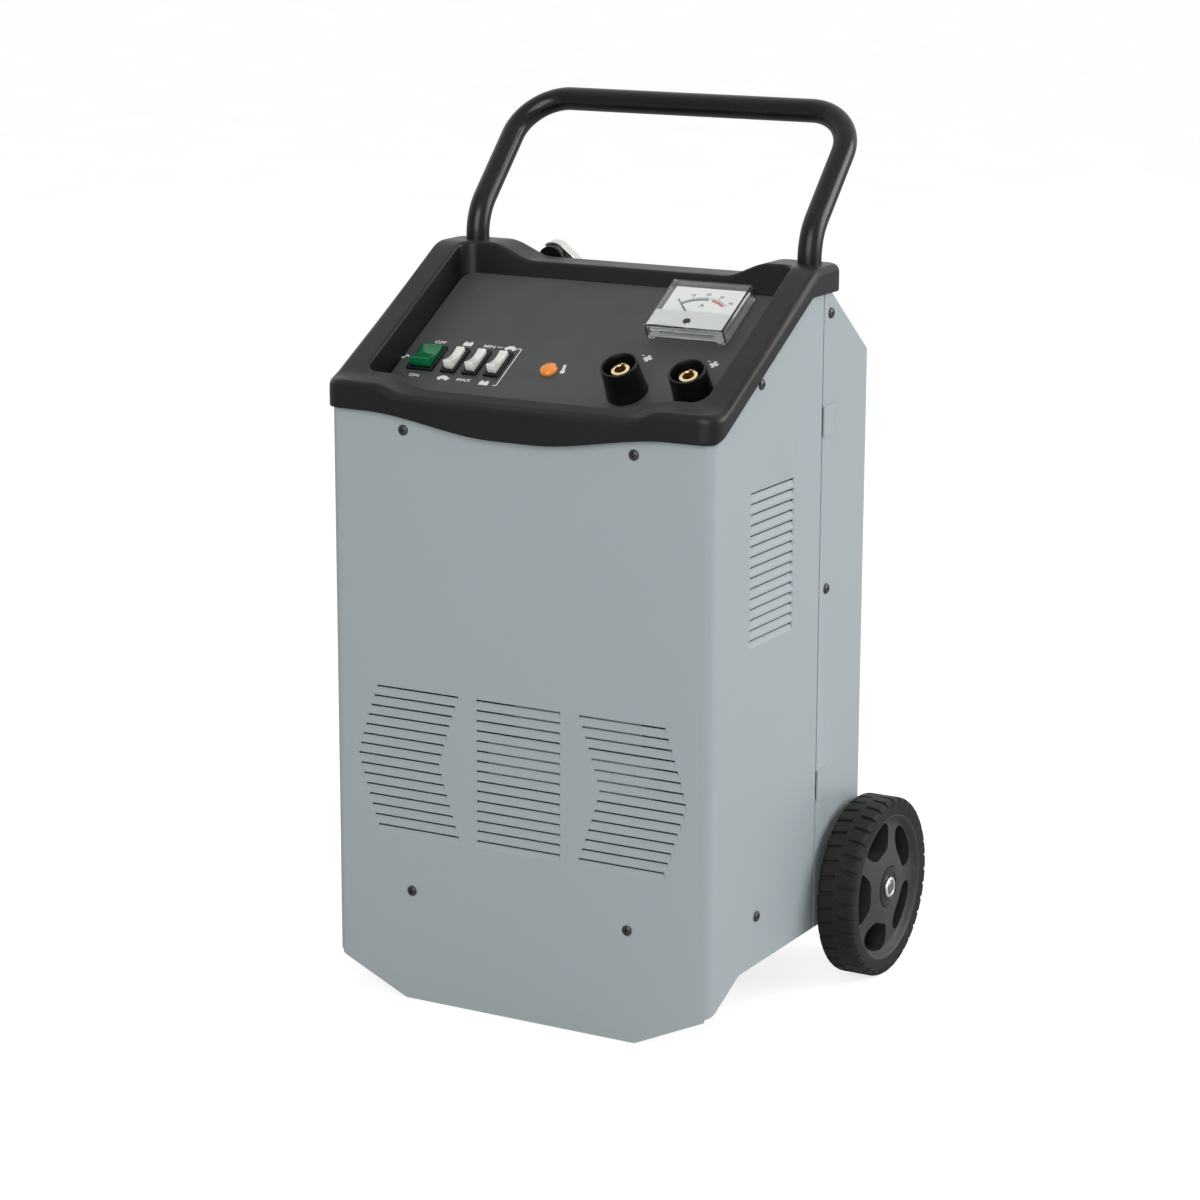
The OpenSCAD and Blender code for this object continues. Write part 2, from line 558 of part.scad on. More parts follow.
nut_t = 1.6;
bush_flange_t = 2.5;
bush_flange_d = 35;
hub_d = 42;
hub_recess = 3;
axle_end = wheel_x0 + wheel_w + 1.5;
module axle() color([0.3, 0.3, 0.31]) translate([0, axle_y, wheel_r]) rotate([0, 90, 0]) {
    cylinder(d = axle_d, h = 2 * (axle_end - 1), center = true);
    for (s = [-1, 1]) translate([0, 0, s * (axle_end - 1)]) mirror([0, 0, s < 0 ? 1 : 0]) cylinder(d1 = axle_d, d2 = axle_d - 2, h = 1);
}
module wheel_spacers() color([0.5, 0.5, 0.5]) for (s = [-1, 1]) translate([s * (hx + wheel_gap / 2), axle_y, wheel_r]) rotate([0, 90, 0]) difference() {
    cylinder(d = axle_d + 8, h = wheel_gap - 0.6, center = true);
    cylinder(d = axle_d + 0.1, h = wheel_gap, center = true);
}
module push_nuts() color([0.8, 0.8, 0.8]) for (s = [-1, 1])
    translate([s * (wheel_x0 + wheel_w - hub_recess + bush_flange_t + 0.3), axle_y, wheel_r]) rotate([0, 90, 0]) mirror([0, 0, s < 0 ? 1 : 0]) difference() {
        union() {
            cylinder(d = axle_d + 5.4, h = nut_t * 0.5);
            translate([0, 0, nut_t * 0.5]) cylinder(d1 = axle_d + 5.4, d2 = axle_d + 3.4, h = nut_t * 0.5);
        }
        translate([0, 0, -1]) cylinder(d = axle_d, h = nut_t + 2);
    }

// Outline of one opening between spokes, in polar form: round at the rim, drawn in towards the hub.
open_r0 = rim_r * 0.385;
open_r1 = rim_r * 0.895;
open_half = 0.39 * 360 / spoke_n;
function opening() = [for (i = [0:35]) let (a = i * 10, u = (1 - cos(a)) / 2,
    r = lerp(open_r0, open_r1, pow(u, 0.85)),
    half = open_half * (0.30 + 0.70 * step(0.05, 0.95, u)) * pow(abs(sin(a)), 0.62) * (sin(a) >= 0 ? 1 : -1) * (1 + 0.25 * (1 - u)))
    [r * cos(half), r * sin(half)]];

web_t = 7;
web_in = 3.5; // how far the spokes' outer face lies inside the wheel's outer face
// Wheel drawn along +X from its inner face at x = 0 to its outer face at x = wheel_w.
module rim() color([0.2, 0.2, 0.2]) rotate([0, 90, 0]) difference() {
    union() {
        difference() {
            cylinder(r = rim_r, h = wheel_w);
            translate([0, 0, -1]) cylinder(r = open_r1 + 1.5, h = wheel_w - web_in - web_t + 1);
            translate([0, 0, wheel_w - web_in]) cylinder(r1 = open_r1 + 1.5, r2 = open_r1 + 2.5, h = web_in + 1);
            translate([0, 0, wheel_w - web_in - web_t - 1]) for (k = [0:spoke_n - 1]) rotate([0, 0, 90 + 36 + k * 360 / spoke_n])
                linear_extrude(web_t + 2) polygon(opening());
        }
        cylinder(d = hub_d - 8, h = wheel_w - 3);
        translate([0, 0, wheel_w - web_in - web_t]) cylinder(d1 = hub_d - 2, d2 = hub_d - 2.5, h = web_in + web_t - 0.2);
    }
    translate([0, 0, -1]) cylinder(d = axle_d + 8, h = wheel_w + 2);
    translate([0, 0, wheel_w - hub_recess]) cylinder(d = bush_flange_d + 0.3, h = hub_recess + 1);
}
module tyre() color([0.13, 0.13, 0.13]) rotate([0, 90, 0]) difference() {
    rotate_extrude() polygon(concat([[rim_r, 0], [rim_r + 6, 0]], arc(wheel_r - 4, 4, 4, -90, 0, 5),
        arc(wheel_r - 4, wheel_w - 4, 4, 0, 90, 5), [[rim_r + 2.2, wheel_w], [rim_r + 1.6, wheel_w - 1], [rim_r, wheel_w - 1]]));
    for (k = [0:lug_n - 1]) for (row = [0, 1]) rotate([0, 0, (k + row / 2) * 360 / lug_n])
        translate([wheel_r - lug_depth, -lug_gap / 2, row ? wheel_w * 0.56 : -1]) cube([lug_depth + 2, lug_gap, wheel_w * 0.44 + 1]);
}
module bush() color([0.06, 0.06, 0.06]) rotate([0, 90, 0]) difference() {
    union() {
        translate([0, 0, 0]) cylinder(d = axle_d + 7.9, h = wheel_w - hub_recess);
        translate([0, 0, wheel_w - hub_recess + 0.05]) cylinder(d = bush_flange_d, h = bush_flange_t);
        translate([0, 0, wheel_w - hub_recess - 1]) cylinder(d = axle_d + 7.9, h = 2);
    }
    translate([0, 0, -1]) cylinder(r = axle_d / 2 + bush_play, h = wheel_w + 2);
}
module wheel_side(s) translate([0, axle_y, wheel_r]) mirror([s < 0 ? 1 : 0, 0, 0]) translate([wheel_x0, 0, 0]) children();

// ---------------------------------------------------------------- transformer and rectifier

core_y = 132;
core_z = base_z + base_t + 8;
leg_w = core_w / 6; // one outer leg of the laminations
win_w = core_w / 6; // width of a window
win_h = core_h - 2 * leg_w;
foot_bolt_x = core_w / 2 - 14;
foot_bolt_y = core_t / 2 + 11;
wind_out = win_w - 2;

module transformer_core() color([0.25, 0.24, 0.23]) translate([0, core_y, core_z + core_h / 2]) difference() {
    cube([core_w, core_t, core_h], center = true);
    for (s = [-1, 1]) translate([s * (leg_w + win_w / 2), 0, 0]) cube([win_w, core_t + 2, win_h], center = true);
    for (x = [-1, 1]) for (z = [-1, 1]) translate([x * (core_w / 2 - leg_w / 2), 0, z * (core_h / 2 - leg_w / 2)])
        rotate([90, 0, 0]) cylinder(d = 6.4, h = core_t + 2, center = true);
}
module winding(z0, h, out) translate([0, core_y, core_z + leg_w + z0]) difference() {
    linear_extrude(h) rrect(2 * leg_w + 2 * out, core_t + 2 * out, 8);
    translate([0, 0, -1]) linear_extrude(h + 2) square([2 * leg_w + 0.6, core_t + 0.6], center = true);
}
module primary_winding() color([0.6, 0.32, 0.16]) winding(2, win_h / 2 - 4, wind_out - 1);
module secondary_winding() color([0.75, 0.45, 0.2]) winding(win_h / 2 + 1, win_h / 2 - 3, wind_out - 2);
module transformer_brackets() color([0.7, 0.7, 0.68]) difference() {
    for (s = [-1, 1]) translate([0, core_y + s * (core_t / 2 + 0.1), 0]) mirror([0, s < 0 ? 1 : 0, 0]) {
        translate([-core_w / 2, 0, base_z + base_t]) cube([core_w, 2.5, leg_w + 8]);
        translate([-core_w / 2, 0, base_z + base_t]) cube([core_w, 22, 2.5]);
        translate([-core_w / 2, 0, core_z + core_h - leg_w]) cube([core_w, 2.5, leg_w + 12]);
    }
    for (x = [-1, 1]) for (z = [leg_w / 2, core_h - leg_w / 2]) translate([x * (core_w / 2 - leg_w / 2), core_y, core_z + z])
        rotate([90, 0, 0]) cylinder(d = 6.4, h = core_t + 20, center = true);
    for (x = [-1, 1]) for (y = [-1, 1]) translate([x * foot_bolt_x, core_y + y * foot_bolt_y, base_z]) cylinder(d = 6.4, h = 10);
}
module hex_bolt(l, d = 6) {
    cylinder(d = d, h = l);
    translate([0, 0, -4]) cylinder(d = 1.155 * 10, h = 4, $fn = 6);
    translate([0, 0, l - 7]) difference() { cylinder(d = 1.155 * 10, h = 5, $fn = 6); translate([0, 0, -1]) cylinder(d = d - 0.6, h = 8); }
}
module transformer_bolts() color([0.75, 0.75, 0.74]) {
    bolt_l = core_t + 12;
    for (x = [-1, 1]) for (z = [leg_w / 2, core_h - leg_w / 2])
        translate([x * (core_w / 2 - leg_w / 2), core_y - core_t / 2 - 2.7, core_z + z]) rotate([-90, 0, 0]) {
            cylinder(d = 6, h = core_t + 11);
            translate([0, 0, -4]) cylinder(d = 11.5, h = 4, $fn = 6);
            translate([0, 0, core_t + 5.4]) cylinder(d = 11.5, h = 5, $fn = 6);
        }
    for (x = [-1, 1]) for (y = [-1, 1]) translate([x * foot_bolt_x, core_y + y * foot_bolt_y, base_z - 4]) {
        cylinder(d = 6, h = 16);
        cylinder(d = 11.5, h = 4, $fn = 6);
        translate([0, 0, 4 + base_t + 2.5]) cylinder(d = 11.5, h = 5, $fn = 6);
    }
}

// Rectifier: a finned plate on an insulating board, bolted to the transformer's top brackets.
board_z = core_z + core_h + 12;
sink_l = 120;
sink_y = 70;
fin_n = 9;
module rectifier_board() color([0.55, 0.35, 0.2]) difference() {
    translate([-sink_l / 2 - 10, core_y - core_t / 2 - 2.5, board_z + 0.1]) cube([sink_l + 20, core_t + 5, 3]);
    for (x = [-1, 1]) for (y = [-1, 1]) translate([x * (sink_l / 2 + 4), core_y + y * 30, board_z - 1]) cylinder(d = 5, h = 6);
}
module heat_sink() color([0.72, 0.73, 0.74]) translate([0, core_y, board_z + 3.3]) difference() {
    union() {
        translate([-sink_l / 2, -sink_y / 2, 0]) cube([sink_l, sink_y, 5]);
        for (i = [0:fin_n - 1]) translate([-sink_l / 2, -sink_y / 2 + i * (sink_y - 2.5) / (fin_n - 1), 0]) cube([sink_l, 2.5, i > 2 && i < 6 ? 5 : 30]);
    }
    for (x = [-39, -13, 13, 39]) translate([x, 0, -1]) cylinder(d = 12.8, h = 8);
}
module rectifier_diodes() color([0.6, 0.6, 0.6]) for (x = [-39, -13, 13, 39]) translate([x, core_y, board_z + 3.5]) {
    cylinder(d = 12.7, h = 6.5);
    cylinder(d = 6, h = 11);
    cylinder(d = 2, h = 22);
}
module thermal_cutout() color([0.85, 0.82, 0.75]) translate([0, core_y - core_t / 2 - wind_out + 1.8, core_z + core_h / 2 + win_h / 4]) rotate([90, 0, 0]) {
    cylinder(d = 17, h = 5);
    translate([0, 0, 5]) cylinder(d = 12, h = 3);
    for (s = [-1, 1]) translate([s * 4 - 0.4, -3.15, 5]) cube([0.8, 6.3, 11]);
}

// ---------------------------------------------------------------- meter

lens_t = 1.8;
dial_h = 6.4;
apron_l = 22; // length of the apron that hides the movement, up the slope
pivot_s = -meter_l / 2 + apron_l - 7;
needle_h = dial_h + 1.6;
needle_l = 33;

module on_meter() on_panel(meter_pos[0], meter_pos[1]) children();
module meter_case() color([0.08, 0.08, 0.08]) on_meter() difference() {
    union() {
        translate([0, 0, 0.1]) linear_extrude(2.2) rrect(meter_w - 2 * lens_t - 1, meter_l - 2 * lens_t - 1, 2);
        translate([0, 0, -26]) cylinder(d = meter_barrel_d, h = 27);
        for (s = [-1, 1]) translate([s * 29, -22, -12]) cylinder(d = 3, h = 13);
        for (s = [-1, 1]) translate([s * 12, 0, -38]) cylinder(d = 4, h = 13);
        translate([-meter_w / 2 + 5, -meter_l / 2 + 5, 2]) cube([6, 6, dial_h - 2.1]);
        translate([meter_w / 2 - 11, -meter_l / 2 + 5, 2]) cube([6, 6, dial_h - 2.1]);
        translate([-meter_w / 2 + 5, meter_l / 2 - 11, 2]) cube([6, 6, dial_h - 2.1]);
        translate([meter_w / 2 - 11, meter_l / 2 - 11, 2]) cube([6, 6, dial_h - 2.1]);
        translate([0, pivot_s, 1]) cylinder(d = 8, h = dial_h + 0.2);
    }
    translate([0, pivot_s, 3]) cylinder(d = 1.2, h = 10);
}
module meter_dial() color([0.92, 0.92, 0.9]) on_meter() difference() {
    translate([0, 0, dial_h]) linear_extrude(0.8) rrect(meter_w - 2 * lens_t - 3, meter_l - 2 * lens_t - 3, 1);
    translate([0, pivot_s, dial_h - 1]) cylinder(d = 9, h = 3);
}
module meter_needle() color([0.1, 0.1, 0.1]) on_meter() translate([0, pivot_s, 0]) {
    translate([0, 0, 4]) cylinder(d = 1.1, h = needle_h - 3.2);
    translate([0, 0, needle_h]) cylinder(d = 6, h = 0.8);
    translate([0, 0, needle_h]) rotate([0, 0, 90 + needle_sweep / 2]) linear_extrude(0.6)
        polygon([[-6, -1.2], [0, -1], [needle_l, -0.35], [needle_l, 0.35], [0, 1], [-6, 1.2]]);
}
// Clear cover: open below, with a step along its front skirt.
module meter_cover() color([0.85, 0.9, 0.9, 0.4]) on_meter() difference() {
    union() {
        translate([0, 0, 0.1]) linear_extrude(meter_h - 1.1) rrect(meter_w, meter_l, 2);
        translate([0, 0, meter_h - 1]) linear_extrude(1) rrect(meter_w - 1.6, meter_l - 1.6, 2);
    }
    translate([0, 0, -1]) linear_extrude(meter_h - lens_t + 1) square([meter_w - 2 * lens_t, meter_l - 2 * lens_t], center = true);
    translate([0, -meter_l / 2, -1]) linear_extrude(3) square([meter_w - 16, 8], center = true);
    translate([0, -meter_l / 2 + zero_s, meter_h - 4]) cylinder(d = 6.4, h = 6);
}
zero_s = 9;
module meter_apron() color([0.72, 0.74, 0.74]) on_meter() difference() {
    translate([-meter_w / 2 + lens_t + 0.3, -meter_l / 2 + lens_t + 0.3, meter_h - lens_t - 1.3]) cube([meter_w - 2 * lens_t - 0.6, apron_l - lens_t, 1.1]);
    translate([0, -meter_l / 2 + zero_s, meter_h - 6]) cylinder(d = 6.4, h = 6);
}
module meter_zero_screw() color([0.2, 0.2, 0.2]) on_meter() translate([0, -meter_l / 2 + zero_s, 0]) difference() {
    union() {
        translate([0, 0, meter_h - 4.2]) cylinder(d = 6, h = 3.8);
        translate([0, 0, meter_h - 4.4]) cylinder(d = 8, h = 1);
    }
    translate([-4, -0.5, meter_h - 1.2]) cube([8, 1, 2]);
}

// ---------------------------------------------------------------- switches and lamp

pivot_h = 0.6; // rocker axis over the panel
pin_d = 2.4;
rocker_gap = 0.5;
bezel_h = 2.2;
module switch_housing(w, x) color([0.06, 0.06, 0.06]) on_panel(x, switch_s) difference() {
    union() {
        translate([0, 0, 0.1]) linear_extrude(bezel_h - 0.7) rrect(w, switch_l, 1.5);
        translate([0, 0, bezel_h - 0.6]) linear_extrude(0.6) rrect(w - 1, switch_l - 1, 1.2);
        translate([0, 0, -18]) linear_extrude(18.5) square([w - 2 * housing_in, switch_l - 2 * housing_in], center = true);
        for (t = w > 20 ? [-9, 9] : [-9, 0, 9]) for (u = w > 20 ? [-5, 5] : [0])
            translate([u - 0.4, t - 3.15, -27]) cube([0.8, 6.3, 10]);
    }
    translate([0, 0, -12]) linear_extrude(20) square([w - 2 * housing_in - 2.6, switch_l - 2 * housing_in - 1.8], center = true);
    translate([0, 0, pivot_h]) rotate([0, 90, 0]) cylinder(d = pin_d + 0.12, h = w - 2 * housing_in - 1, center = true);
}
rocker_half = switch_l / 2 - housing_in - 0.9 - rocker_gap - 0.35;
// Rocker drawn level; the top is hollowed between two raised ends.
module rocker_profile() polygon(concat(
    [[-rocker_half, 0], [-rocker_half, 6.4]],
    [for (i = [0:8]) let (u = i / 8 * 2 - 1) [u * (rocker_half - 0.8), 2.6 + 4.2 * pow(abs(u), 1.3)]],
    [[rocker_half, 6.4], [rocker_half, 0], [rocker_half - 3, -3], [4, -7.5], [-4, -7.5], [-rocker_half + 3, -3]]));
module rocker(w, x) on_panel(x, switch_s) translate([0, 0, pivot_h]) rotate([-rocker_swing / 2, 0, 0]) {
    along_x(w - 2 * housing_in - 2.6 - 2 * rocker_gap) rocker_profile();
    rotate([0, 90, 0]) cylinder(d = pin_d, h = w - 2 * housing_in - 1.2, center = true);
}
module narrow_housing(i) switch_housing(narrow_w, narrow_x(i));
module narrow_rocker(i) color([0.9, 0.9, 0.87]) rocker(narrow_w, narrow_x(i));

module lamp_lens() color([0.93, 0.45, 0.12]) on_panel(lamp_pos[0], lamp_pos[1]) {
    translate([0, 0, 0.1]) cylinder(d = lamp_d, h = 1.6);
    translate([0, 0, 1.7]) cylinder(d1 = lamp_d, d2 = lamp_d - 1.6, h = 2.2);
    translate([0, 0, 3.9]) cylinder(d1 = lamp_d - 1.6, d2 = lamp_d - 5, h = 0.9);
}
module lamp_body() color([0.85, 0.85, 0.8]) on_panel(lamp_pos[0], lamp_pos[1]) difference() {
    union() {
        translate([0, 0, -22]) cylinder(d = lamp_d - 2.7, h = 22);
        translate([0, 0, -panel_t - 2.6]) cylinder(d = lamp_d + 3, h = 2.5, $fn = 6);
        for (s = [-1, 1]) translate([s * 3 - 0.4, -1.4, -30]) cube([0.8, 2.8, 9]);
    }
    translate([0, 0, -8]) cylinder(d = lamp_d - 6, h = 10);
}

// ---------------------------------------------------------------- output sockets

cup_d = socket_d - 3.6;
cup_depth = 17;
insert_d = 15.3;
insert_drop = 4.5;
module socket_housing(i) color([0.05, 0.05, 0.05]) on_panel(socket_x(i), socket_pos[1]) difference() {
    union() {
        translate([0, 0, 0.1]) cylinder(d = socket_d + 3.4, h = 5);
        translate([0, 0, 5]) cylinder(d1 = socket_d + 2.4, d2 = socket_d, h = socket_h - 6);
        translate([0, 0, socket_h - 1.1]) cylinder(d1 = socket_d, d2 = socket_d - 1.4, h = 1.1);
        translate([0, 0, -20]) cylinder(d = socket_neck_d, h = 21);
    }
    translate([0, 0, socket_h - cup_depth]) cylinder(d1 = cup_d - 1, d2 = cup_d, h = cup_depth + 1);
    translate([0, 0, -21]) cylinder(d = insert_d - 2, h = socket_h + 21);
}
module socket_insert(i) color([0.85, 0.65, 0.3]) on_panel(socket_x(i), socket_pos[1]) difference() {
    union() {
        translate([0, 0, socket_h - cup_depth + 0.1]) cylinder(d = insert_d, h = cup_depth - insert_drop - 0.6);
        translate([0, 0, socket_h - insert_drop - 0.5]) cylinder(d1 = insert_d, d2 = insert_d - 1, h = 0.5);
        translate([0, 0, -24]) cylinder(d = insert_d - 2.2, h = socket_h + 24 - insert_drop - 2);
        translate([0, 0, -38]) cylinder(d = 8, h = 15);
    }
    translate([0, 0, socket_h - insert_drop - 24]) cylinder(d = socket_bore_d, h = 30);
    translate([-1.6, 0, socket_h - insert_drop - 14]) cube([3.2, socket_bore_d / 2 + 1.9, 16]);
}
module socket_nuts() color([0.75, 0.75, 0.72]) for (i = [0, 1]) on_panel(socket_x(i), socket_pos[1]) {
    difference() {
        translate([0, 0, -panel_t - 5.2]) cylinder(d = 31, h = 5, $fn = 6);
        translate([0, 0, -10]) cylinder(d = socket_neck_d, h = 12);
    }
    difference() {
        translate([0, 0, -30.5]) cylinder(d = 15, h = 6, $fn = 6);
        translate([0, 0, -34]) cylinder(d = 8, h = 12);
    }
}

// ---------------------------------------------------------------- fasteners, gland and hook

rear_screw_x = 120;
rear_screw_z = base_z + 34;
gland_x = -90;
gland_z = 150;
gland_d = 20;

// Screw with a domed head: the head's seat is z = 0 and the shank runs down.
module screw(l, d = 4) {
    translate([0, 0, 0.1]) cylinder(d = head_d, h = 1.2);
    translate([0, 0, 1.3]) cylinder(d1 = head_d, d2 = head_d * 0.72, h = 1.2);
    translate([0, 0, -l]) cylinder(d = d, h = l + 0.5);
}
module front_screws() color([0.08, 0.08, 0.08]) for (i = [0, 1]) for (s = [-1, 1])
    translate([s * front_screw_x[i], 0, front_screw_z[i]]) rotate([90, 0, 0]) screw(8, thread_d);
module side_screws() color([0.08, 0.08, 0.08]) for (s = [-1, 1]) for (p = side_screw)
    translate([s * hx, p[0], p[1]]) rotate([0, s * 90, 0]) screw(8, thread_d);
module handle_screws() color([0.08, 0.08, 0.08]) for (s = [-1, 1]) for (z = leg_screw_z)
    translate([s * hx, leg_y, z]) rotate([0, s * 90, 0]) screw(hx - leg_x + tube_d / 2 + 4, 4.4);
module rear_screws() color([0.08, 0.08, 0.08]) for (s = [-1, 1])
    translate([s * rear_screw_x, cab_d, rear_screw_z]) rotate([-90, 0, 0]) screw(8, thread_d);

module cable_gland() color([0.07, 0.07, 0.07]) translate([gland_x, cab_d, gland_z]) rotate([-90, 0, 0]) difference() {
    union() {
        translate([0, 0, 0.1]) cylinder(d = 28, h = 5, $fn = 6);
        translate([0, 0, 5]) cylinder(d = 24, h = 9);
        translate([0, 0, 14]) cylinder(d1 = 24, d2 = 17, h = 5);
        translate([0, 0, -10]) cylinder(d = gland_d - 0.4, h = 11);
        translate([0, 0, -sheet_t - 4.2]) cylinder(d = 28, h = 4, $fn = 6);
    }
    translate([0, 0, -11]) cylinder(d = 12, h = 40);
}

// A plated strap that rises from one riveted foot and curls over a rubber block on the sloped top.
// Spare lead hangs from it.
hook_x = -96.5; // centre of the block
hook_y = cab_d - 38.9; // middle of the strap at its curl
hook_z = back_top_z + 62.1; // centre of the curl
hook_w = 9;
hook_t = 2;
hook_r = 11.8; // inner radius of the curl
hook_rest = 48; // the slanted leg's normal, from level
hook_end = 126; // where the curl ends
hook_foot_x = -63; // outer face of the upright leg
hook_foot_l = 22; // length of the foot
hook_block_l = 18; // length of the block
hook_tilt = 10; // rise of the strap towards the back
hook_lean_y = 5; // how far the leaning leg's foot lies behind hook_y
rivet_d = 4;
rivets = [[hook_foot_x + 5.5, 0], [hook_foot_x + 15.5, 0]]; // (x, up slope) from the foot's middle

// Point at distance s down the slanted leg, at radius r.
function hook_leg(r, s) = [hook_x + r * cos(hook_rest) + s * sin(hook_rest), hook_z + r * sin(hook_rest) - s * cos(hook_rest)];
// The slanted leg's meeting with the upright line x, rounded by a curve that starts at distance d.
function hook_knee(r, x, d) = let (s = (x - hook_x - r * cos(hook_rest)) / sin(hook_rest), c = hook_leg(r, s), a = hook_leg(r, s - d), b = [x, c[1] - d])
    [for (t = [0:0.2:1]) (1 - t) * (1 - t) * a + 2 * t * (1 - t) * c + t * t * b];
function turned_round(v) = [for (k = [len(v) - 1:-1:0]) v[k]];
module above_cover(gap) difference() {
    children();
    translate([0, 0, gap / cos(atan(cover_slope))]) along_x(400)
        polygon([[195, 300], [195, cover_z(195)], [cab_d + 5, cover_z(cab_d + 5)], [cab_d + 5, 300]]);
}
module on_cover(x, y) translate([x, y, cover_z(y)]) rotate([-atan(cover_slope), 0, 0]) children();
module hook_tilted() translate([0, hook_y, hook_z]) rotate([hook_tilt, 0, 0]) translate([0, 0, -hook_z]) children();

module cable_hook() color([0.75, 0.76, 0.76]) difference() {
    above_cover(0.1) union() {
        hook_tilted() along_y(hook_w) polygon(concat(
            [[hook_foot_x, 530]], turned_round(hook_knee(hook_r + hook_t, hook_foot_x, 5)),
            arc(hook_x, hook_z, hook_r + hook_t, hook_rest, hook_end, 10), arc(hook_x, hook_z, hook_r, hook_end, hook_rest, 10),
            hook_knee(hook_r, hook_foot_x - hook_t, 4), [[hook_foot_x - hook_t, 530]]));
        translate([hook_foot_x + hook_foot_l / 2 - hook_t / 2, 0, 0]) along_x(hook_foot_l + hook_t - 0.1)
            let (y0 = hook_y + hook_lean_y - hook_w / 2, y1 = y0 + hook_w, up = hook_t / cos(atan(cover_slope)))
            polygon([[y0, cover_z(y0) - 1], [y1, cover_z(y1) - 1], [y1, cover_z(y1) + up], [y0, cover_z(y0) + up]]);
    }
    for (p = rivets) on_cover(p[0], hook_y + hook_lean_y) translate([0, p[1], -2]) cylinder(d = rivet_d + 0.3, h = 8);
}
module hook_block() color([0.07, 0.07, 0.07]) difference() {
    above_cover(0.1) hook_tilted() translate([0, -1.5, 0]) along_y(hook_block_l) polygon(concat(
        [[hook_x - hook_r + 0.1, 520], [hook_x + hook_r - 0.1, 520]], arc(hook_x, hook_z, hook_r - 0.1, 0, 180, 16)));
    on_cover(hook_x, hook_y + hook_lean_y) translate([0, 0, -1]) cylinder(d = rivet_d + 0.3, h = 11);
}
module hook_rivets() color([0.75, 0.76, 0.76]) {
    for (p = rivets) on_cover(p[0], hook_y + hook_lean_y) translate([0, p[1], 0]) {
        translate([0, 0, hook_t + 0.15]) cylinder(d1 = 7.4, d2 = 5.6, h = 1.7);
        translate([0, 0, -sheet_t - 1.6]) cylinder(d = rivet_d, h = sheet_t + 2.2 + hook_t);
        translate([0, 0, -sheet_t - 1.75]) cylinder(d = 6, h = 1.6);
    }
    on_cover(hook_x, hook_y + hook_lean_y) {
        translate([0, 0, -sheet_t - 1.6]) cylinder(d = rivet_d, h = sheet_t + 10.8);
        translate([0, 0, -sheet_t - 2.15]) cylinder(d = 8, h = 2);
    }
}
module hook_holes() {
    for (p = rivets) on_cover(p[0], hook_y + hook_lean_y) translate([0, p[1], 0]) cylinder(d = rivet_d + 0.3, h = 10, center = true);
    on_cover(hook_x, hook_y + hook_lean_y) cylinder(d = rivet_d + 0.3, h = 10, center = true);
}

// ---------------------------------------------------------------- nodes

place() front_shell();
place() rear_cover();
place() base_tray();
place() top_bezel();
place() control_panel();
place() handle_tube();
place() handle_spacers();
place() axle();
place() wheel_spacers();
place() wheel_side(-1) rim();  // rim_left
place() wheel_side(1) rim();  // rim_right
place() wheel_side(-1) tyre();  // tyre_left
place() wheel_side(1) tyre();  // tyre_right
place() wheel_side(-1) bush();  // bush_left
place() wheel_side(1) bush();  // bush_right
place() push_nuts();
place() transformer_core();
place() primary_winding();
place() secondary_winding();
place() transformer_brackets();
place() transformer_bolts();
place() heat_sink();
place() rectifier_diodes();
place() rectifier_board();
place() thermal_cutout();
place() meter_case();
place() meter_dial();
place() meter_needle();
place() meter_cover();
place() meter_apron();
place() meter_zero_screw();
place() switch_housing(wide_w, mains_x);  // mains_switch_housing
place() color([0.05, 0.45, 0.2]) rocker(wide_w, mains_x);  // mains_rocker
place() narrow_housing(0);  // charge_switch_housing
place() narrow_rocker(0);  // charge_rocker
place() narrow_housing(1);  // voltage_switch_housing
place() narrow_rocker(1);  // voltage_rocker
place() narrow_housing(2);  // rate_switch_housing
place() narrow_rocker(2);  // rate_rocker
place() lamp_lens();
place() lamp_body();
place() socket_housing(1);  // right_socket_housing
place() socket_housing(0);  // left_socket_housing
place() socket_insert(1);  // right_socket_insert
place() socket_insert(0);  // left_socket_insert
place() socket_nuts();
place() front_screws();
place() side_screws();
place() handle_screws();
place() rear_screws();
place() cable_gland();
place() cable_hook();
place() hook_block();
place() hook_rivets();
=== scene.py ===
"""Looks for a wheeled battery charger and engine starter, built round its packed CAD model.

Surfaces are worked out in the cabinet's own millimetres, where the front face is y = 0, the floor
is z = 0 and the cabinet is centred on x = 0. in_frame() turns them into metres of the model's frame.
A surface here is a pair: an array of points, and a list of face arrays, one per number of corners.
"""

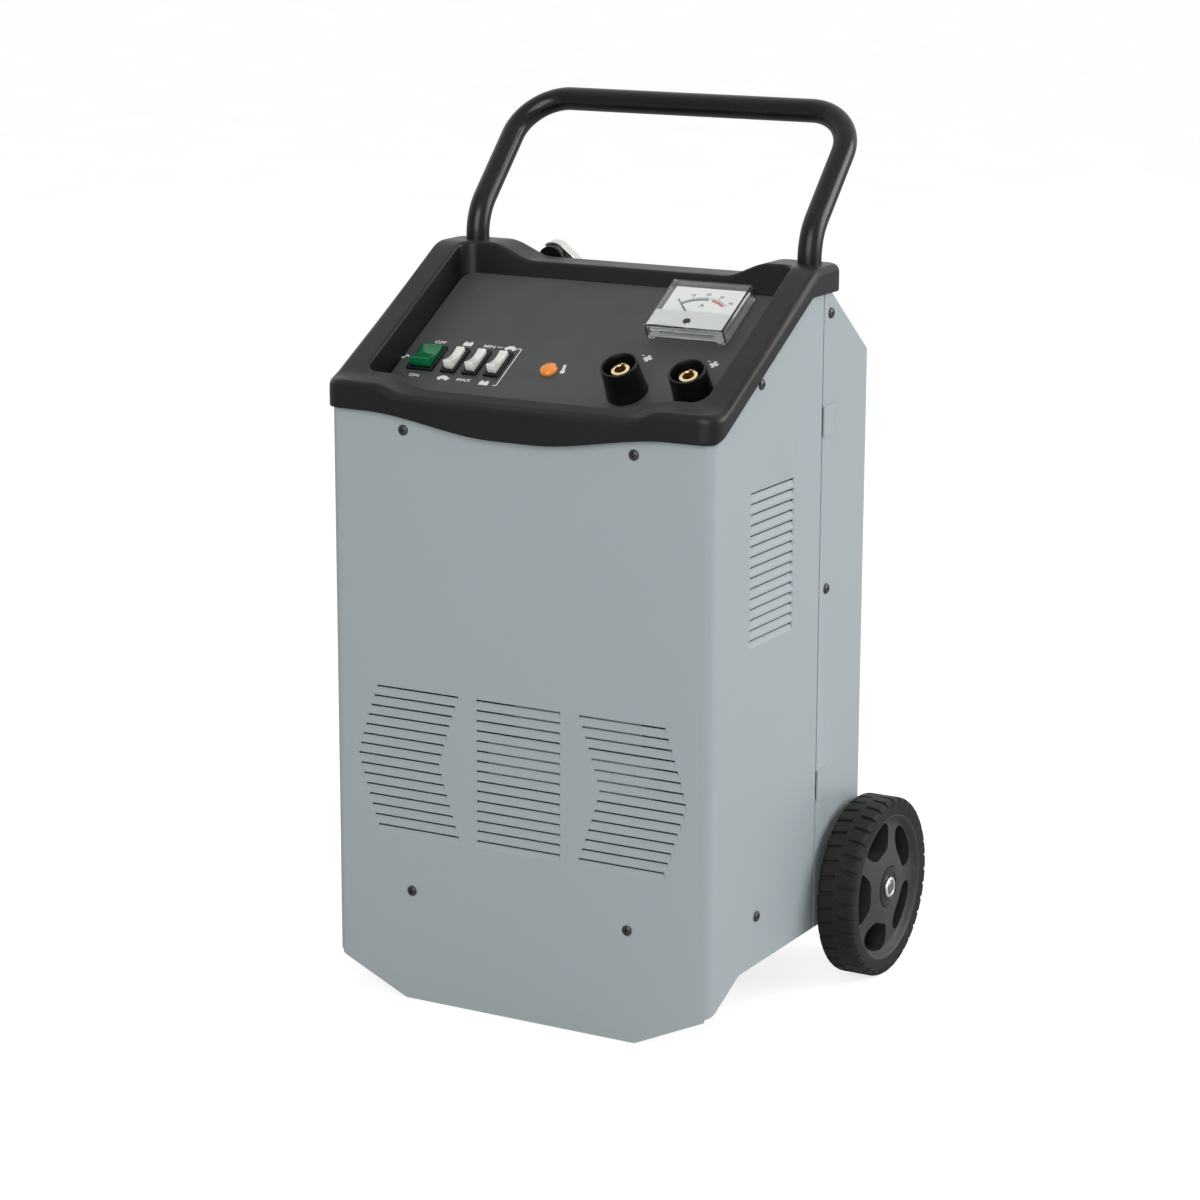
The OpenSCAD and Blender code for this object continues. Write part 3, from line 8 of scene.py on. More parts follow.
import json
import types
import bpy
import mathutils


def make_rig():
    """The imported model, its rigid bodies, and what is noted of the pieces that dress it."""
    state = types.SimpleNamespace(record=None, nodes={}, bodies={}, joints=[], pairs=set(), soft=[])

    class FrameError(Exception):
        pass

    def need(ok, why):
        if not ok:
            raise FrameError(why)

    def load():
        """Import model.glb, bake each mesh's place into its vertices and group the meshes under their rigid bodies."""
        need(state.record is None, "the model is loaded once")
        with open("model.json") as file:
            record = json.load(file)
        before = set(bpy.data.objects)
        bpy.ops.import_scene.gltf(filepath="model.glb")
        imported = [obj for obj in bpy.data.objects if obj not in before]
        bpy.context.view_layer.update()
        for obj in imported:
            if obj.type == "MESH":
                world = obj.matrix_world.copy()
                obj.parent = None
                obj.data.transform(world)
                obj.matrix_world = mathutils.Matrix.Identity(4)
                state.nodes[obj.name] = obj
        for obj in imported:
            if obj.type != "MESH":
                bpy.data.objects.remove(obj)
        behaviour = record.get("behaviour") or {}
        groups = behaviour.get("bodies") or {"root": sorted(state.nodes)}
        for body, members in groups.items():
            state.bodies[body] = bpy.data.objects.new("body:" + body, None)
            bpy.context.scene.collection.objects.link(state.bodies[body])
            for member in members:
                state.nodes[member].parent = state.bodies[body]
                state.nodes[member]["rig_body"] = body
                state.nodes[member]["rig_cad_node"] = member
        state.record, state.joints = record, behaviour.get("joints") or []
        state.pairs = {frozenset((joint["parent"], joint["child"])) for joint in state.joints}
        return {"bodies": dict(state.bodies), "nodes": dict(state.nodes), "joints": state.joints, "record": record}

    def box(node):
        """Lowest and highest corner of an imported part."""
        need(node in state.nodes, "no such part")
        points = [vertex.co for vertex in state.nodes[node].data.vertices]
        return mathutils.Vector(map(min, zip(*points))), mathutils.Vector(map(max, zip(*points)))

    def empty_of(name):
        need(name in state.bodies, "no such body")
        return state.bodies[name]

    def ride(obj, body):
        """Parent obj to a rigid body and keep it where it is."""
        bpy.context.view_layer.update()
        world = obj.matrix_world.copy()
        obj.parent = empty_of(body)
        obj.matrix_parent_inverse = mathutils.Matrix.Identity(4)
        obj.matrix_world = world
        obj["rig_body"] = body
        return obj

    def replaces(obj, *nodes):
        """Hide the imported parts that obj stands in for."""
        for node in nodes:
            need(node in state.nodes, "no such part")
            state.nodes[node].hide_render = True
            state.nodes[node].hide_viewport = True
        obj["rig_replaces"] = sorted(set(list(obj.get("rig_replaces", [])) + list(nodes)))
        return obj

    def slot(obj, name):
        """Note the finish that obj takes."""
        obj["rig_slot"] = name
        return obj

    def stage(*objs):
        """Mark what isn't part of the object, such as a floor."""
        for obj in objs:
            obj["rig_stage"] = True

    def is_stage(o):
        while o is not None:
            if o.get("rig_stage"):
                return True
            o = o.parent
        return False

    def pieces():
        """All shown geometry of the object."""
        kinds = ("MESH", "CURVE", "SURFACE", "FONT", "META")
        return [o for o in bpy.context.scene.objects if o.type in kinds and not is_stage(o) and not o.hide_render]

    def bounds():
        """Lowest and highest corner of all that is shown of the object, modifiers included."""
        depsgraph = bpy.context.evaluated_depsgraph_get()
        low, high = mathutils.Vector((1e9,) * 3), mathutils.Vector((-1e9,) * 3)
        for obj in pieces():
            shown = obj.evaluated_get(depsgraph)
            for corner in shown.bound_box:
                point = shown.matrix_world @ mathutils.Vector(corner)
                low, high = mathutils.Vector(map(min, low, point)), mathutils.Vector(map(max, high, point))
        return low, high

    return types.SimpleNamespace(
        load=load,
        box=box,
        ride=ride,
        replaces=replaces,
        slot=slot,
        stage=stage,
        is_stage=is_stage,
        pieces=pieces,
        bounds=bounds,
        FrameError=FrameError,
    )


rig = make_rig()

bl_info = {
    "name": "Battery charger looks",
    "version": (1, 0, 0),
    "blender": (4, 5, 0),
    "location": "3D View > Sidebar > Charger",
    "description": "Builds the visible pieces and finishes of a wheeled battery charger",
    "category": "Object",
}

import json
import math

import bmesh
import bpy
import numpy as np
from bpy.props import FloatProperty, FloatVectorProperty, IntProperty, PointerProperty
from mathutils import Matrix, Vector

for left_over in list(bpy.data.objects):
    bpy.data.objects.remove(left_over)
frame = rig.load()
CAD_BOX = [list(corner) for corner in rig.bounds()]

MM = 0.001
FRONT_FACE_Y = 160.35  # the front face lies this far ahead of the frame's origin
SHOULDER_Y = 167  # the rails' slope ends this far behind the front face

# ------------------------------------------------------------------ sizes and colours


def length(name, text, default_mm):
    """A length property whose default is given in millimetres."""
    return FloatProperty(name=name, description=text, default=default_mm * MM, min=0.0, unit="LENGTH",
                         precision=5)


def colour(name, text, rgb):
    return FloatVectorProperty(name=name, description=text, default=rgb, size=3, min=0.0, max=1.0,
                               subtype="COLOR")


def angle(name, text, degrees):
    return FloatProperty(name=name, description=text, default=math.radians(degrees), subtype="ANGLE",
                         unit="ROTATION")


class CabinetSizes(bpy.types.PropertyGroup):
    width: length("Width", "Width of the sheet cabinet", 350)
    body_height: length("Body height", "Height at which the bezel starts, at the front corners", 490.8)
    back_top: length("Back height", "Height where the sloped top meets the back", 528.6)
    depth: length("Depth", "Depth of the cabinet", 268.4)
    top_fall: FloatProperty(name="Top fall", description="Fall of the sloped top for each unit of depth",
                            default=0.7926)
    edge: length("Edge softness", "Width of the softened edges of the sheet", 0.35)


class BezelSizes(bpy.types.PropertyGroup):
    overhang: length("Side overhang", "Overhang of the moulding at the sides", 3.6)
    front_overhang: length("Front overhang", "Overhang of the moulding at the front corners", 6)
    bulge: length("Lip bulge", "Extra forward bulge of the lip at mid width", 2)
    depth: length("Depth", "Depth of the moulding behind the front face", 214)
    rail: length("Rail width", "Width of the side rails", 25)
    rail_height: length("Rail height", "Height of the rails over the body at the front", 17.2)
    wall: length("Wall", "Wall of the moulding", 3)
    front_radius: length("Front radius", "Plan radius of the front corners", 17)
    rear_radius: length("Rear radius", "Plan radius of the rear corners", 12)
    outer_round: length("Outer rounding", "Radius of the outer top edge", 7)
    inner_round: length("Inner rounding", "Radius of the tray's top edge", 3)
    lip_dip: length("Lip dip", "Fall of the lip's top from the corners to the middle", 11.8)
    lip_sag: length("Lip sag", "Fall of the lip's lower edge from the corners to the middle", 13.3)
    shoulder: length("Shoulder height", "Height of the shoulders over the rear rim", 12.5)
    tray_depth: length("Tray depth", "Depth of the tray, square to the panel", 25)


class HandleSizes(bpy.types.PropertyGroup):
    diameter: length("Tube diameter", "Outside diameter of the tube", 19.5)
    leg_inset: length("Leg inset", "Distance of the legs from the cabinet sides", 19.8)
    leg_y: length("Leg place", "Distance of the legs from the front face", 198)
    leg_bottom: length("Leg bottom", "Height of the legs' lower ends", 322)
    bend_z: length("Bend height", "Height of the lower bend's corner point", 627)
    rise: length("Grip rise", "Rise of the grip over the lower bend", 91.2)
    lean: angle("Lean", "Lean of the upper legs from the floor", 46.4)
    low_radius: length("Low bend radius", "Centre-line radius of the lower bends", 45)
    grip_radius: length("Grip bend radius", "Centre-line radius of the grip corners", 42)


class WheelSizes(bpy.types.PropertyGroup):
    diameter: length("Diameter", "Wheel diameter", 152)
    width: length("Width", "Wheel width", 33)
    axle_y: length("Axle place", "Distance of the axle from the front face", 252.7)
    axle: length("Axle diameter", "Axle diameter", 12)
    gap: length("Gap", "Gap between the cabinet side and the wheel", 6)
    tyre: length("Tyre thickness", "Thickness of the tyre", 14)
    lugs: IntProperty(name="Lugs", description="Lugs in each of the two rows", default=36, min=12, max=60)
    groove: length("Groove width", "Width of the grooves between lugs", 2.6)
    groove_depth: length("Groove depth", "Depth of the grooves", 2.2)
    spokes: IntProperty(name="Spokes", description="Spokes of the wheel", default=5, min=3, max=9)


class PanelSizes(bpy.types.PropertyGroup):
    slope: angle("Slope", "Slope of the control panel from the floor", 30.4)
    switch_length: length("Switch length", "Length of every switch", 31)
    narrow: length("Narrow switch", "Width of a narrow switch", 14.2)
    wide: length("Wide switch", "Width of the mains switch", 25)
    swing: angle("Rocker swing", "Swing of a rocker from side to side", 20)
    lamp: length("Lamp diameter", "Diameter of the pilot lamp", 14.7)
    socket: length("Socket diameter", "Rim diameter of an output socket", 30.6)
    socket_height: length("Socket height", "Height of an output socket", 28)
    bore: length("Contact bore", "Bore of the brass contact", 9.2)
    print_height: length("Print thickness", "Thickness of the printed marks", 0.06)


class StrapSizes(bpy.types.PropertyGroup):
    x: FloatProperty(name="Block place", description="Centre of the block across the cabinet",
                     default=-96.5)
    y: length("Strap place", "Distance of the curl from the front face", 229.5)
    z: length("Curl height", "Height of the curl's centre", 590.7)
    width: length("Width", "Width of the strap", 9)
    thickness: length("Thickness", "Thickness of the strap", 2)
    inner_radius: length("Inner radius", "Inner radius of the curl", 11.8)
    rest: angle("Slant", "Angle from level of the slanted leg's normal", 48)
    curl_end: angle("Curl end", "Angle where the curl ends", 126)
    tilt: angle("Tilt", "Backward lean of the strap", 10)
    lean_y: length("Lean", "How far the foot lies behind the curl", 5)
    foot_x: FloatProperty(name="Foot place", description="Outer face of the upright leg", default=-63)
    foot_length: length("Foot length", "Length of the foot", 22)
    foot_width: length("Foot width", "Width of the foot up the slope", 13.5)


class Colours(bpy.types.PropertyGroup):
    paint: colour("Cabinet paint", "Grey-blue powder coat", (0.335, 0.385, 0.405))
    moulding: colour("Black moulding", "Bezel plastic", (0.0055, 0.0060, 0.0058))
    plate: colour("Panel plate", "Control panel plastic", (0.041, 0.044, 0.045))
    ink: colour("White print", "Printed marks", (0.82, 0.83, 0.82))
    tube: colour("Handle coat", "Gloss black coat of the handle", (0.0060, 0.0060, 0.0065))
    rim: colour("Wheel plastic", "Charcoal wheel plastic", (0.036, 0.038, 0.034))
    tyre: colour("Tyre", "Charcoal tyre", (0.0090, 0.0100, 0.0088))
    green: colour("Green rocker", "Tinted clear plastic", (0.005, 0.22, 0.07))
    white: colour("White rocker", "Off-white plastic", (0.86, 0.86, 0.80))
    orange: colour("Lamp lens", "Orange lens", (0.90, 0.28, 0.035))
    brass: colour("Brass", "Turned brass contacts", (0.95, 0.77, 0.46))
    zinc: colour("Zinc plate", "Bright plated steel", (0.78, 0.78, 0.76))


class StageSettings(bpy.types.PropertyGroup):
    floor: colour("Floor", "Pale floor", (0.45, 0.45, 0.45))
    sky: FloatProperty(name="Sky", description="Strength of the even light", default=0.45, min=0.0)
    front_sky: FloatProperty(name="Front sky",
                             description="Share of the even light that comes from the front", default=0.35,
                             min=0.0)
    key: FloatProperty(name="Key light", description="Strength of the right-hand light, in watts",
                       default=86.0, min=0.0, unit="POWER")
    fill: FloatProperty(name="Fill light", description="Strength of the front light, in watts",
                        default=138.0, min=0.0, unit="POWER")
    floor_white: FloatProperty(name="Floor white",
                               description="Light the floor adds to reach white in view", default=0.75,
                               min=0.0)
    floor_gloss: FloatProperty(name="Floor gloss", description="Share of that light which reflections see",
                               default=0.2, min=0.0)
    lens: FloatProperty(name="Lens", description="Focal length in millimetres", default=99.95, min=1.0,
                        unit="CAMERA")


GROUPS = {
    "charger_cabinet": CabinetSizes,
    "charger_bezel": BezelSizes,
    "charger_handle": HandleSizes,
    "charger_wheels": WheelSizes,
    "charger_panel": PanelSizes,
    "charger_strap": StrapSizes,
    "charger_colours": Colours,
    "charger_stage": StageSettings,
}


def sizes(group):
    """A settings group as plain numbers: its lengths in millimetres, all else as it is."""
    found = {}
    for name, prop in group.bl_rna.properties.items():
        if name in ("rna_type", "name"):
            continue
        value = getattr(group, name)
        found[name] = value / MM if getattr(prop, "unit", "NONE") == "LENGTH" else value
    return type("Sizes", (), found)


# ------------------------------------------------------------------ places


def in_frame(points):
    """Cabinet millimetres to metres of the model's frame: y less the front shift, then all by 0.001."""
    moved = np.array(points, float)
    moved[..., 1] -= FRONT_FACE_Y
    return moved * MM


def turned(surface, across, up, origin):
    """A surface drawn round a local origin, x along across, y along up and z square to both."""
    basis = np.array([across, up, np.cross(across, up)], float)
    points, faces = surface
    return points @ basis + np.array(origin, float), faces


def panel_origin(s, x, along):
    """The point of the panel's surface at x and along, which is the distance up its slope."""
    slope = s.charger_panel.slope
    bezel = sizes(s.charger_bezel)
    body = s.charger_cabinet.body_height / MM
    z0 = body + bezel.rail_height - bezel.tray_depth / math.cos(slope)
    return np.array([x, along * math.cos(slope), z0 + along * math.sin(slope)])


def on_panel(s, surface, x, along):
    """A surface drawn with the panel as its xy plane, put at x and along."""
    slope = s.charger_panel.slope
    return turned(surface, (1, 0, 0), (0, math.cos(slope), math.sin(slope)), panel_origin(s, x, along))


def shoulder_height(s):
    """Height of the bezel's shoulders: the rails' front height plus the panel's slope over SHOULDER_Y."""
    rail = s.charger_cabinet.body_height / MM + s.charger_bezel.rail_height / MM
    return rail + math.tan(s.charger_panel.slope) * SHOULDER_Y


def on_cover(cab, y):
    """The point of the rear cover's slope at y, on the cabinet's middle plane."""
    return np.array([0, y, cab.back_top + (cab.depth - y) * cab.top_fall])


def on_wheel(s, surface, side):
    """A surface whose local z is the wheel's axis, from the inner face out, put left (-1) or right (1)."""
    w = sizes(s.charger_wheels)
    x = s.charger_cabinet.width / MM / 2 + w.gap
    return turned(surface, (0, side, 0), (0, 0, 1), (side * x, w.axle_y, w.diameter / 2))


# ------------------------------------------------------------------ surfaces


def outward(points, faces):
    """The same closed surface with its faces turned out: reversed where its volume is negative."""
    volume = 0.0
    for f in faces:
        for k in range(1, f.shape[1] - 1):
            a, b, c = points[f[:, 0]], points[f[:, k]], points[f[:, k + 1]]
            volume += np.einsum("ij,ij->", a, np.cross(b, c))
    return points, [f[:, ::-1] for f in faces] if volume < 0 else faces


def join(surfaces):
    """Several surfaces as one: the face numbers of each are raised by the points before it."""
    start, points, faces = 0, [], []
    for p, fs in surfaces:
        points.append(p)
        faces += [f + start for f in fs]
        start += len(p)
    return np.vstack(points), faces


def loft(loops, ends="fan", wrap=False):
    """A surface through loops[i, j], which closes on itself in j.

    With wrap it closes in i too. Else its ends are fans about each end loop's mean, or flat faces, or ends
    is "last" or "open": a fan at the last loop only, or none, for a piece of a surface that merged()
    closes.
    """
    loops = np.asarray(loops, float)
    n, m = loops.shape[:2]
    points = loops.reshape(-1, 3)
    i = np.arange(n if wrap else n - 1)[:, None]
    j = np.arange(m)[None, :]
    k, e = (j + 1) % m, (i + 1) % n
    faces = [np.stack([i * m + j, i * m + k, e * m + k, e * m + j], -1).reshape(-1, 4)]
    if ends == "open" and not wrap:
        return points, faces
    if not wrap and ends == "last":
        j, last = np.arange(m), (n - 1) * m
        faces.append(np.stack([last + j, last + (j + 1) % m, np.full(m, n * m)], -1))
        return np.vstack([points, loops[-1].mean(0)]), faces
    if not wrap and ends == "fan":
        points = np.vstack([points, loops[0].mean(0), loops[-1].mean(0)])
        j = np.arange(m)
        k, last = (j + 1) % m, (n - 1) * m
        faces.append(np.stack([k, j, np.full(m, n * m)], -1))
        faces.append(np.stack([last + j, last + k, np.full(m, n * m + 1)], -1))
    elif not wrap:
        faces.append(np.arange(m)[None, ::-1])
        faces.append(((n - 1) * m + np.arange(m))[None, :])
    return outward(points, faces)


def arrays(bm):
    """The surface that a bmesh holds. The bmesh is freed."""
    bm.verts.index_update()
    points = np.array([v.co for v in bm.verts], float)
    by_size = {}
    for f in bm.faces:
        by_size.setdefault(len(f.verts), []).append([v.index for v in f.verts])
    bm.free()
    return points, [np.array(f) for f in by_size.values()]


SAME_BORDER = 1e-4  # millimetres between border points that are one point


def merged(surfaces):
    """Open surfaces that share borders as one closed surface."""
    points, faces = join(surfaces)
    bm = bmesh.new()
    made = [bm.verts.new(p) for p in points]
    for f in faces:
        for row in f:
            bm.faces.new([made[k] for k in row])
    bmesh.ops.remove_doubles(bm, verts=bm.verts, dist=SAME_BORDER)
    bmesh.ops.recalc_face_normals(bm, faces=bm.faces)
    return outward(*arrays(bm))


def ring(r, a, z):
    """The points at radius r, angles a and height z."""
    return np.stack([r * np.cos(a), r * np.sin(a), z + 0 * a], -1)


def lathe(profile, around, wrap=False):
    """The profile (radius, height) turned about z: point (r cos a, r sin a, h) for each angle a."""
    profile = np.asarray(profile, float)
    a = np.linspace(0, 2 * np.pi, around, endpoint=False)
    return loft(ring(profile[:, :1], a, profile[:, 1:]), wrap=wrap)


def arc(cx, cy, r, a0, a1, n):
    """Points of a circular arc, from angle a0 to a1 in degrees."""
    a = np.radians(np.linspace(a0, a1, n + 1))
    return np.stack([cx + r * np.cos(a), cy + r * np.sin(a)], -1)


def rounded(w, l, r, n):
    """A rectangle of w by l with corners of radius r, anticlockwise."""
    x, y = w / 2 - r, l / 2 - r
    corners = ((x, y, 0), (-x, y, 90), (-x, -y, 180), (x, -y, 270))
    return np.vstack([arc(cx, cy, r, a, a + 90, n) for cx, cy, a in corners])


def inset(outline, d):
    """An anticlockwise outline moved in by d: each point goes along its mean normal, over the cosine."""
    before = outline - np.roll(outline, 1, 0)
    after = np.roll(outline, -1, 0) - outline
    normals = [np.stack([-e[:, 1], e[:, 0]], -1) / np.maximum(np.linalg.norm(e, axis=1), 1e-9)[:, None]
               for e in (before, after)]
    mean = normals[0] + normals[1]
    mean /= np.maximum(np.linalg.norm(mean, axis=1), 1e-9)[:, None]
    cos = np.clip((mean * normals[0]).sum(1), 0.35, 1)
    return outline + mean * (d / cos)[:, None]


def at_height(outline, d, z):
    """An outline moved in by d and lifted to z."""
    return np.column_stack([inset(outline, d) if d else outline, np.full(len(outline), z)])


def stack(outline, steps):
    """An outline carried up z: steps is a list of (inset, height), one loop each."""
    return loft([at_height(outline, d, z) for d, z in steps], "flat")


QUARTER = np.linspace(0, np.pi / 2, 5)  # angles of the points of a rounded edge


def soft_steps(z0, z1, r0, r1):
    """(inset, height) steps of a slab from z0 to z1, its lower and upper edges rounded by r0 and r1."""
    low = [(r0 * (1 - math.sin(a)), z0 + r0 * (1 - math.cos(a))) for a in QUARTER] if r0 else [(0, z0)]
    high = [(r1 * (1 - math.cos(a)), z1 - r1 * (1 - math.sin(a))) for a in QUARTER] if r1 else [(0, z1)]
    return low + high


def tube(path, side, radius, around):
    """A round section carried along a path: centre + radius (side cos a + (tangent x side) sin a)."""
    path, side = np.asarray(path, float), np.asarray(side, float)
    tangent = np.gradient(path, axis=0)
    tangent /= np.linalg.norm(tangent, axis=1)[:, None]
    side = side - tangent * (side * tangent).sum(1)[:, None]
    side /= np.linalg.norm(side, axis=1)[:, None]
    other = np.cross(tangent, side)
    a = np.linspace(0, 2 * np.pi, around, endpoint=False)[None, :, None]
    radius = np.broadcast_to(radius, len(path))[:, None, None]
    return loft(path[:, None] + radius * (side[:, None] * np.cos(a) + other[:, None] * np.sin(a)))


def ribbon(line, width, z0, z1):
    """A flat band along a line in the plane: each point goes half the width to both sides of the line."""
    line = np.asarray(line, float)
    d = np.gradient(line, axis=0)
    d /= np.linalg.norm(d, axis=1)[:, None]
    n = np.stack([-d[:, 1], d[:, 0]], -1) * width / 2
    a, b = line + n, line - n
    corners = ((a, z0), (b, z0), (b, z1), (a, z1))
    return loft(np.stack([at_height(side, 0, z) for side, z in corners], 1), "flat")


def step(a, b, v):
    """Smooth rise from 0 at a to 1 at b: 3t2 - 2t3."""
    t = np.clip((v - a) / (b - a), 0, 1)
    return t * t * (3 - 2 * t)


def soft_min(a, b, k):
    """The lesser of a and b, blended over a difference of k."""
    h = np.maximum(k - np.abs(a - b), 0) / k
    return np.minimum(a, b) - h * h * k / 4


# ------------------------------------------------------------------ objects

SAME_POINT = 2e-7  # metres between points of a CAD mesh that are one point
SAME_FACE = 0.4  # degrees between faces of a CAD mesh that are one flat face
SOFT_LIMIT = 28.0  # degrees between faces above which an edge is rounded


def put(name, surface, finish, body="cabinet", nodes=(), sharp=35.0, edge=None):
    """One object from a surface in cabinet millimetres, smooth except across edges sharper than sharp."""
    points, faces = surface
    points = in_frame(points)
    mesh = bpy.data.meshes.new(name)
    corners = np.concatenate([f.ravel() for f in faces])
    counts = np.concatenate([np.full(len(f), f.shape[1]) for f in faces])
    mesh.vertices.add(len(points))
    mesh.vertices.foreach_set("co", points.astype(np.float32).ravel())
    mesh.loops.add(len(corners))
    mesh.loops.foreach_set("vertex_index", corners.astype(np.int32))
    mesh.polygons.add(len(counts))
    mesh.polygons.foreach_set("loop_start", (np.cumsum(counts) - counts).astype(np.int32))
    mesh.update(calc_edges=True)
    mesh.validate()
    if edge is not None:
        worn = mesh.attributes.new("edge", "FLOAT", "POINT")
        worn.data.foreach_set("value", np.asarray(edge, np.float32))
    dress(name, mesh, finish, body, nodes, sharp)


def dress(name, mesh, finish, body, nodes, sharp):
    """Shades a mesh, gives it its finish and hands its object to the frame."""
    mesh.polygons.foreach_set("use_smooth", np.ones(len(mesh.polygons), bool))
    mesh.set_sharp_from_angle(angle=math.radians(sharp))
    mesh.materials.append(FINISHES[finish])
    obj = bpy.data.objects.new(name, mesh)
    bpy.context.scene.collection.objects.link(obj)
    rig.ride(obj, body)
    if nodes:
        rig.replaces(obj, *nodes)
    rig.slot(obj, SLOT_OF[finish])
    return obj


def softened(node, name, finish, width_mm, segments=2):
    """A merged copy of a CAD node with its flat faces joined up and its sharp edges rounded by width_mm."""
    source = frame["nodes"][node]
    bm = bmesh.new()
    bm.from_mesh(source.data)
    bmesh.ops.remove_doubles(bm, verts=bm.verts, dist=SAME_POINT)
    bmesh.ops.dissolve_limit(bm, angle_limit=math.radians(SAME_FACE), verts=bm.verts, edges=bm.edges)
    mesh = bpy.data.meshes.new(name)
    bm.to_mesh(mesh)
    bm.free()
    obj = dress(name, mesh, finish, source["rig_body"], [node], SOFT_LIMIT)
    bevel = obj.modifiers.new("Soft edges", "BEVEL")
    bevel.width, bevel.segments = width_mm * MM, segments
    bevel.limit_method, bevel.angle_limit = "ANGLE", math.radians(SOFT_LIMIT)
    bevel.use_clamp_overlap, bevel.harden_normals = True, True


# ------------------------------------------------------------------ shared effects

FINISHES = {}
SLOT_OF = {}
EFFECTS = {}


class Tree:
    """Short calls for adding nodes to a node tree."""

    def __init__(self, tree):
        self.tree = tree

    def node(self, kind, **values):
        n = self.tree.nodes.new("ShaderNode" + kind)
        for key, value in values.items():
            setattr(n, key, value)
        return n

    def set(self, node, key, value):
        """Links a socket, or sets a plain value, on an input."""
        if isinstance(value, bpy.types.NodeSocket):
            self.tree.links.new(value, node.inputs[key])
        else:
            node.inputs[key].default_value = value

    def maths(self, operation, a, b=0.0, clamp=False):
        n = self.node("Math", operation=operation, use_clamp=clamp)
        self.set(n, 0, a)
        self.set(n, 1, b)
        return n.outputs[0]

    def mix(self, kind, factor, a, b, blend="MIX"):
        """A Mix node for FLOAT or RGBA, with its like-named sockets picked by type."""
        n = self.node("Mix", data_type=kind)
        if kind == "RGBA":
            n.blend_type = blend
        first = {"FLOAT": 2, "RGBA": 6}[kind]
        self.set(n, 0, factor)
        self.set(n, first, a)
        self.set(n, first + 1, b)
        return n.outputs[{"FLOAT": 0, "RGBA": 2}[kind]]

    def noise(self, vector, scale, detail=3.0, roughness=0.5):
        n = self.node("TexNoise")
        for key, value in (("Vector", vector), ("Scale", scale), ("Detail", detail),
                           ("Roughness", roughness)):
            self.set(n, key, value)
        return n.outputs["Fac"]

    def seen(self):
        """1 for camera rays and rays through clear plastic, and 1 for reflected rays."""
        path = self.node("LightPath").outputs
        white = self.maths("MAXIMUM", path["Is Camera Ray"], path["Is Transmission Ray"])
        return white, path["Is Glossy Ray"]


def effect(name, inputs, outputs):
    """A new node group: inputs and outputs are (name, socket type, default) rows."""
    group = bpy.data.node_groups.new(name, "ShaderNodeTree")
    for label, kind, default in inputs:
        socket = group.interface.new_socket(label, in_out="INPUT", socket_type="NodeSocket" + kind)
        if default is not None:
            socket.default_value = default
    for label, kind in outputs:
        group.interface.new_socket(label, in_out="OUTPUT", socket_type="NodeSocket" + kind)
    EFFECTS[name] = group
    return Tree(group), (group.nodes.new("NodeGroupInput"), group.nodes.new("NodeGroupOutput"))


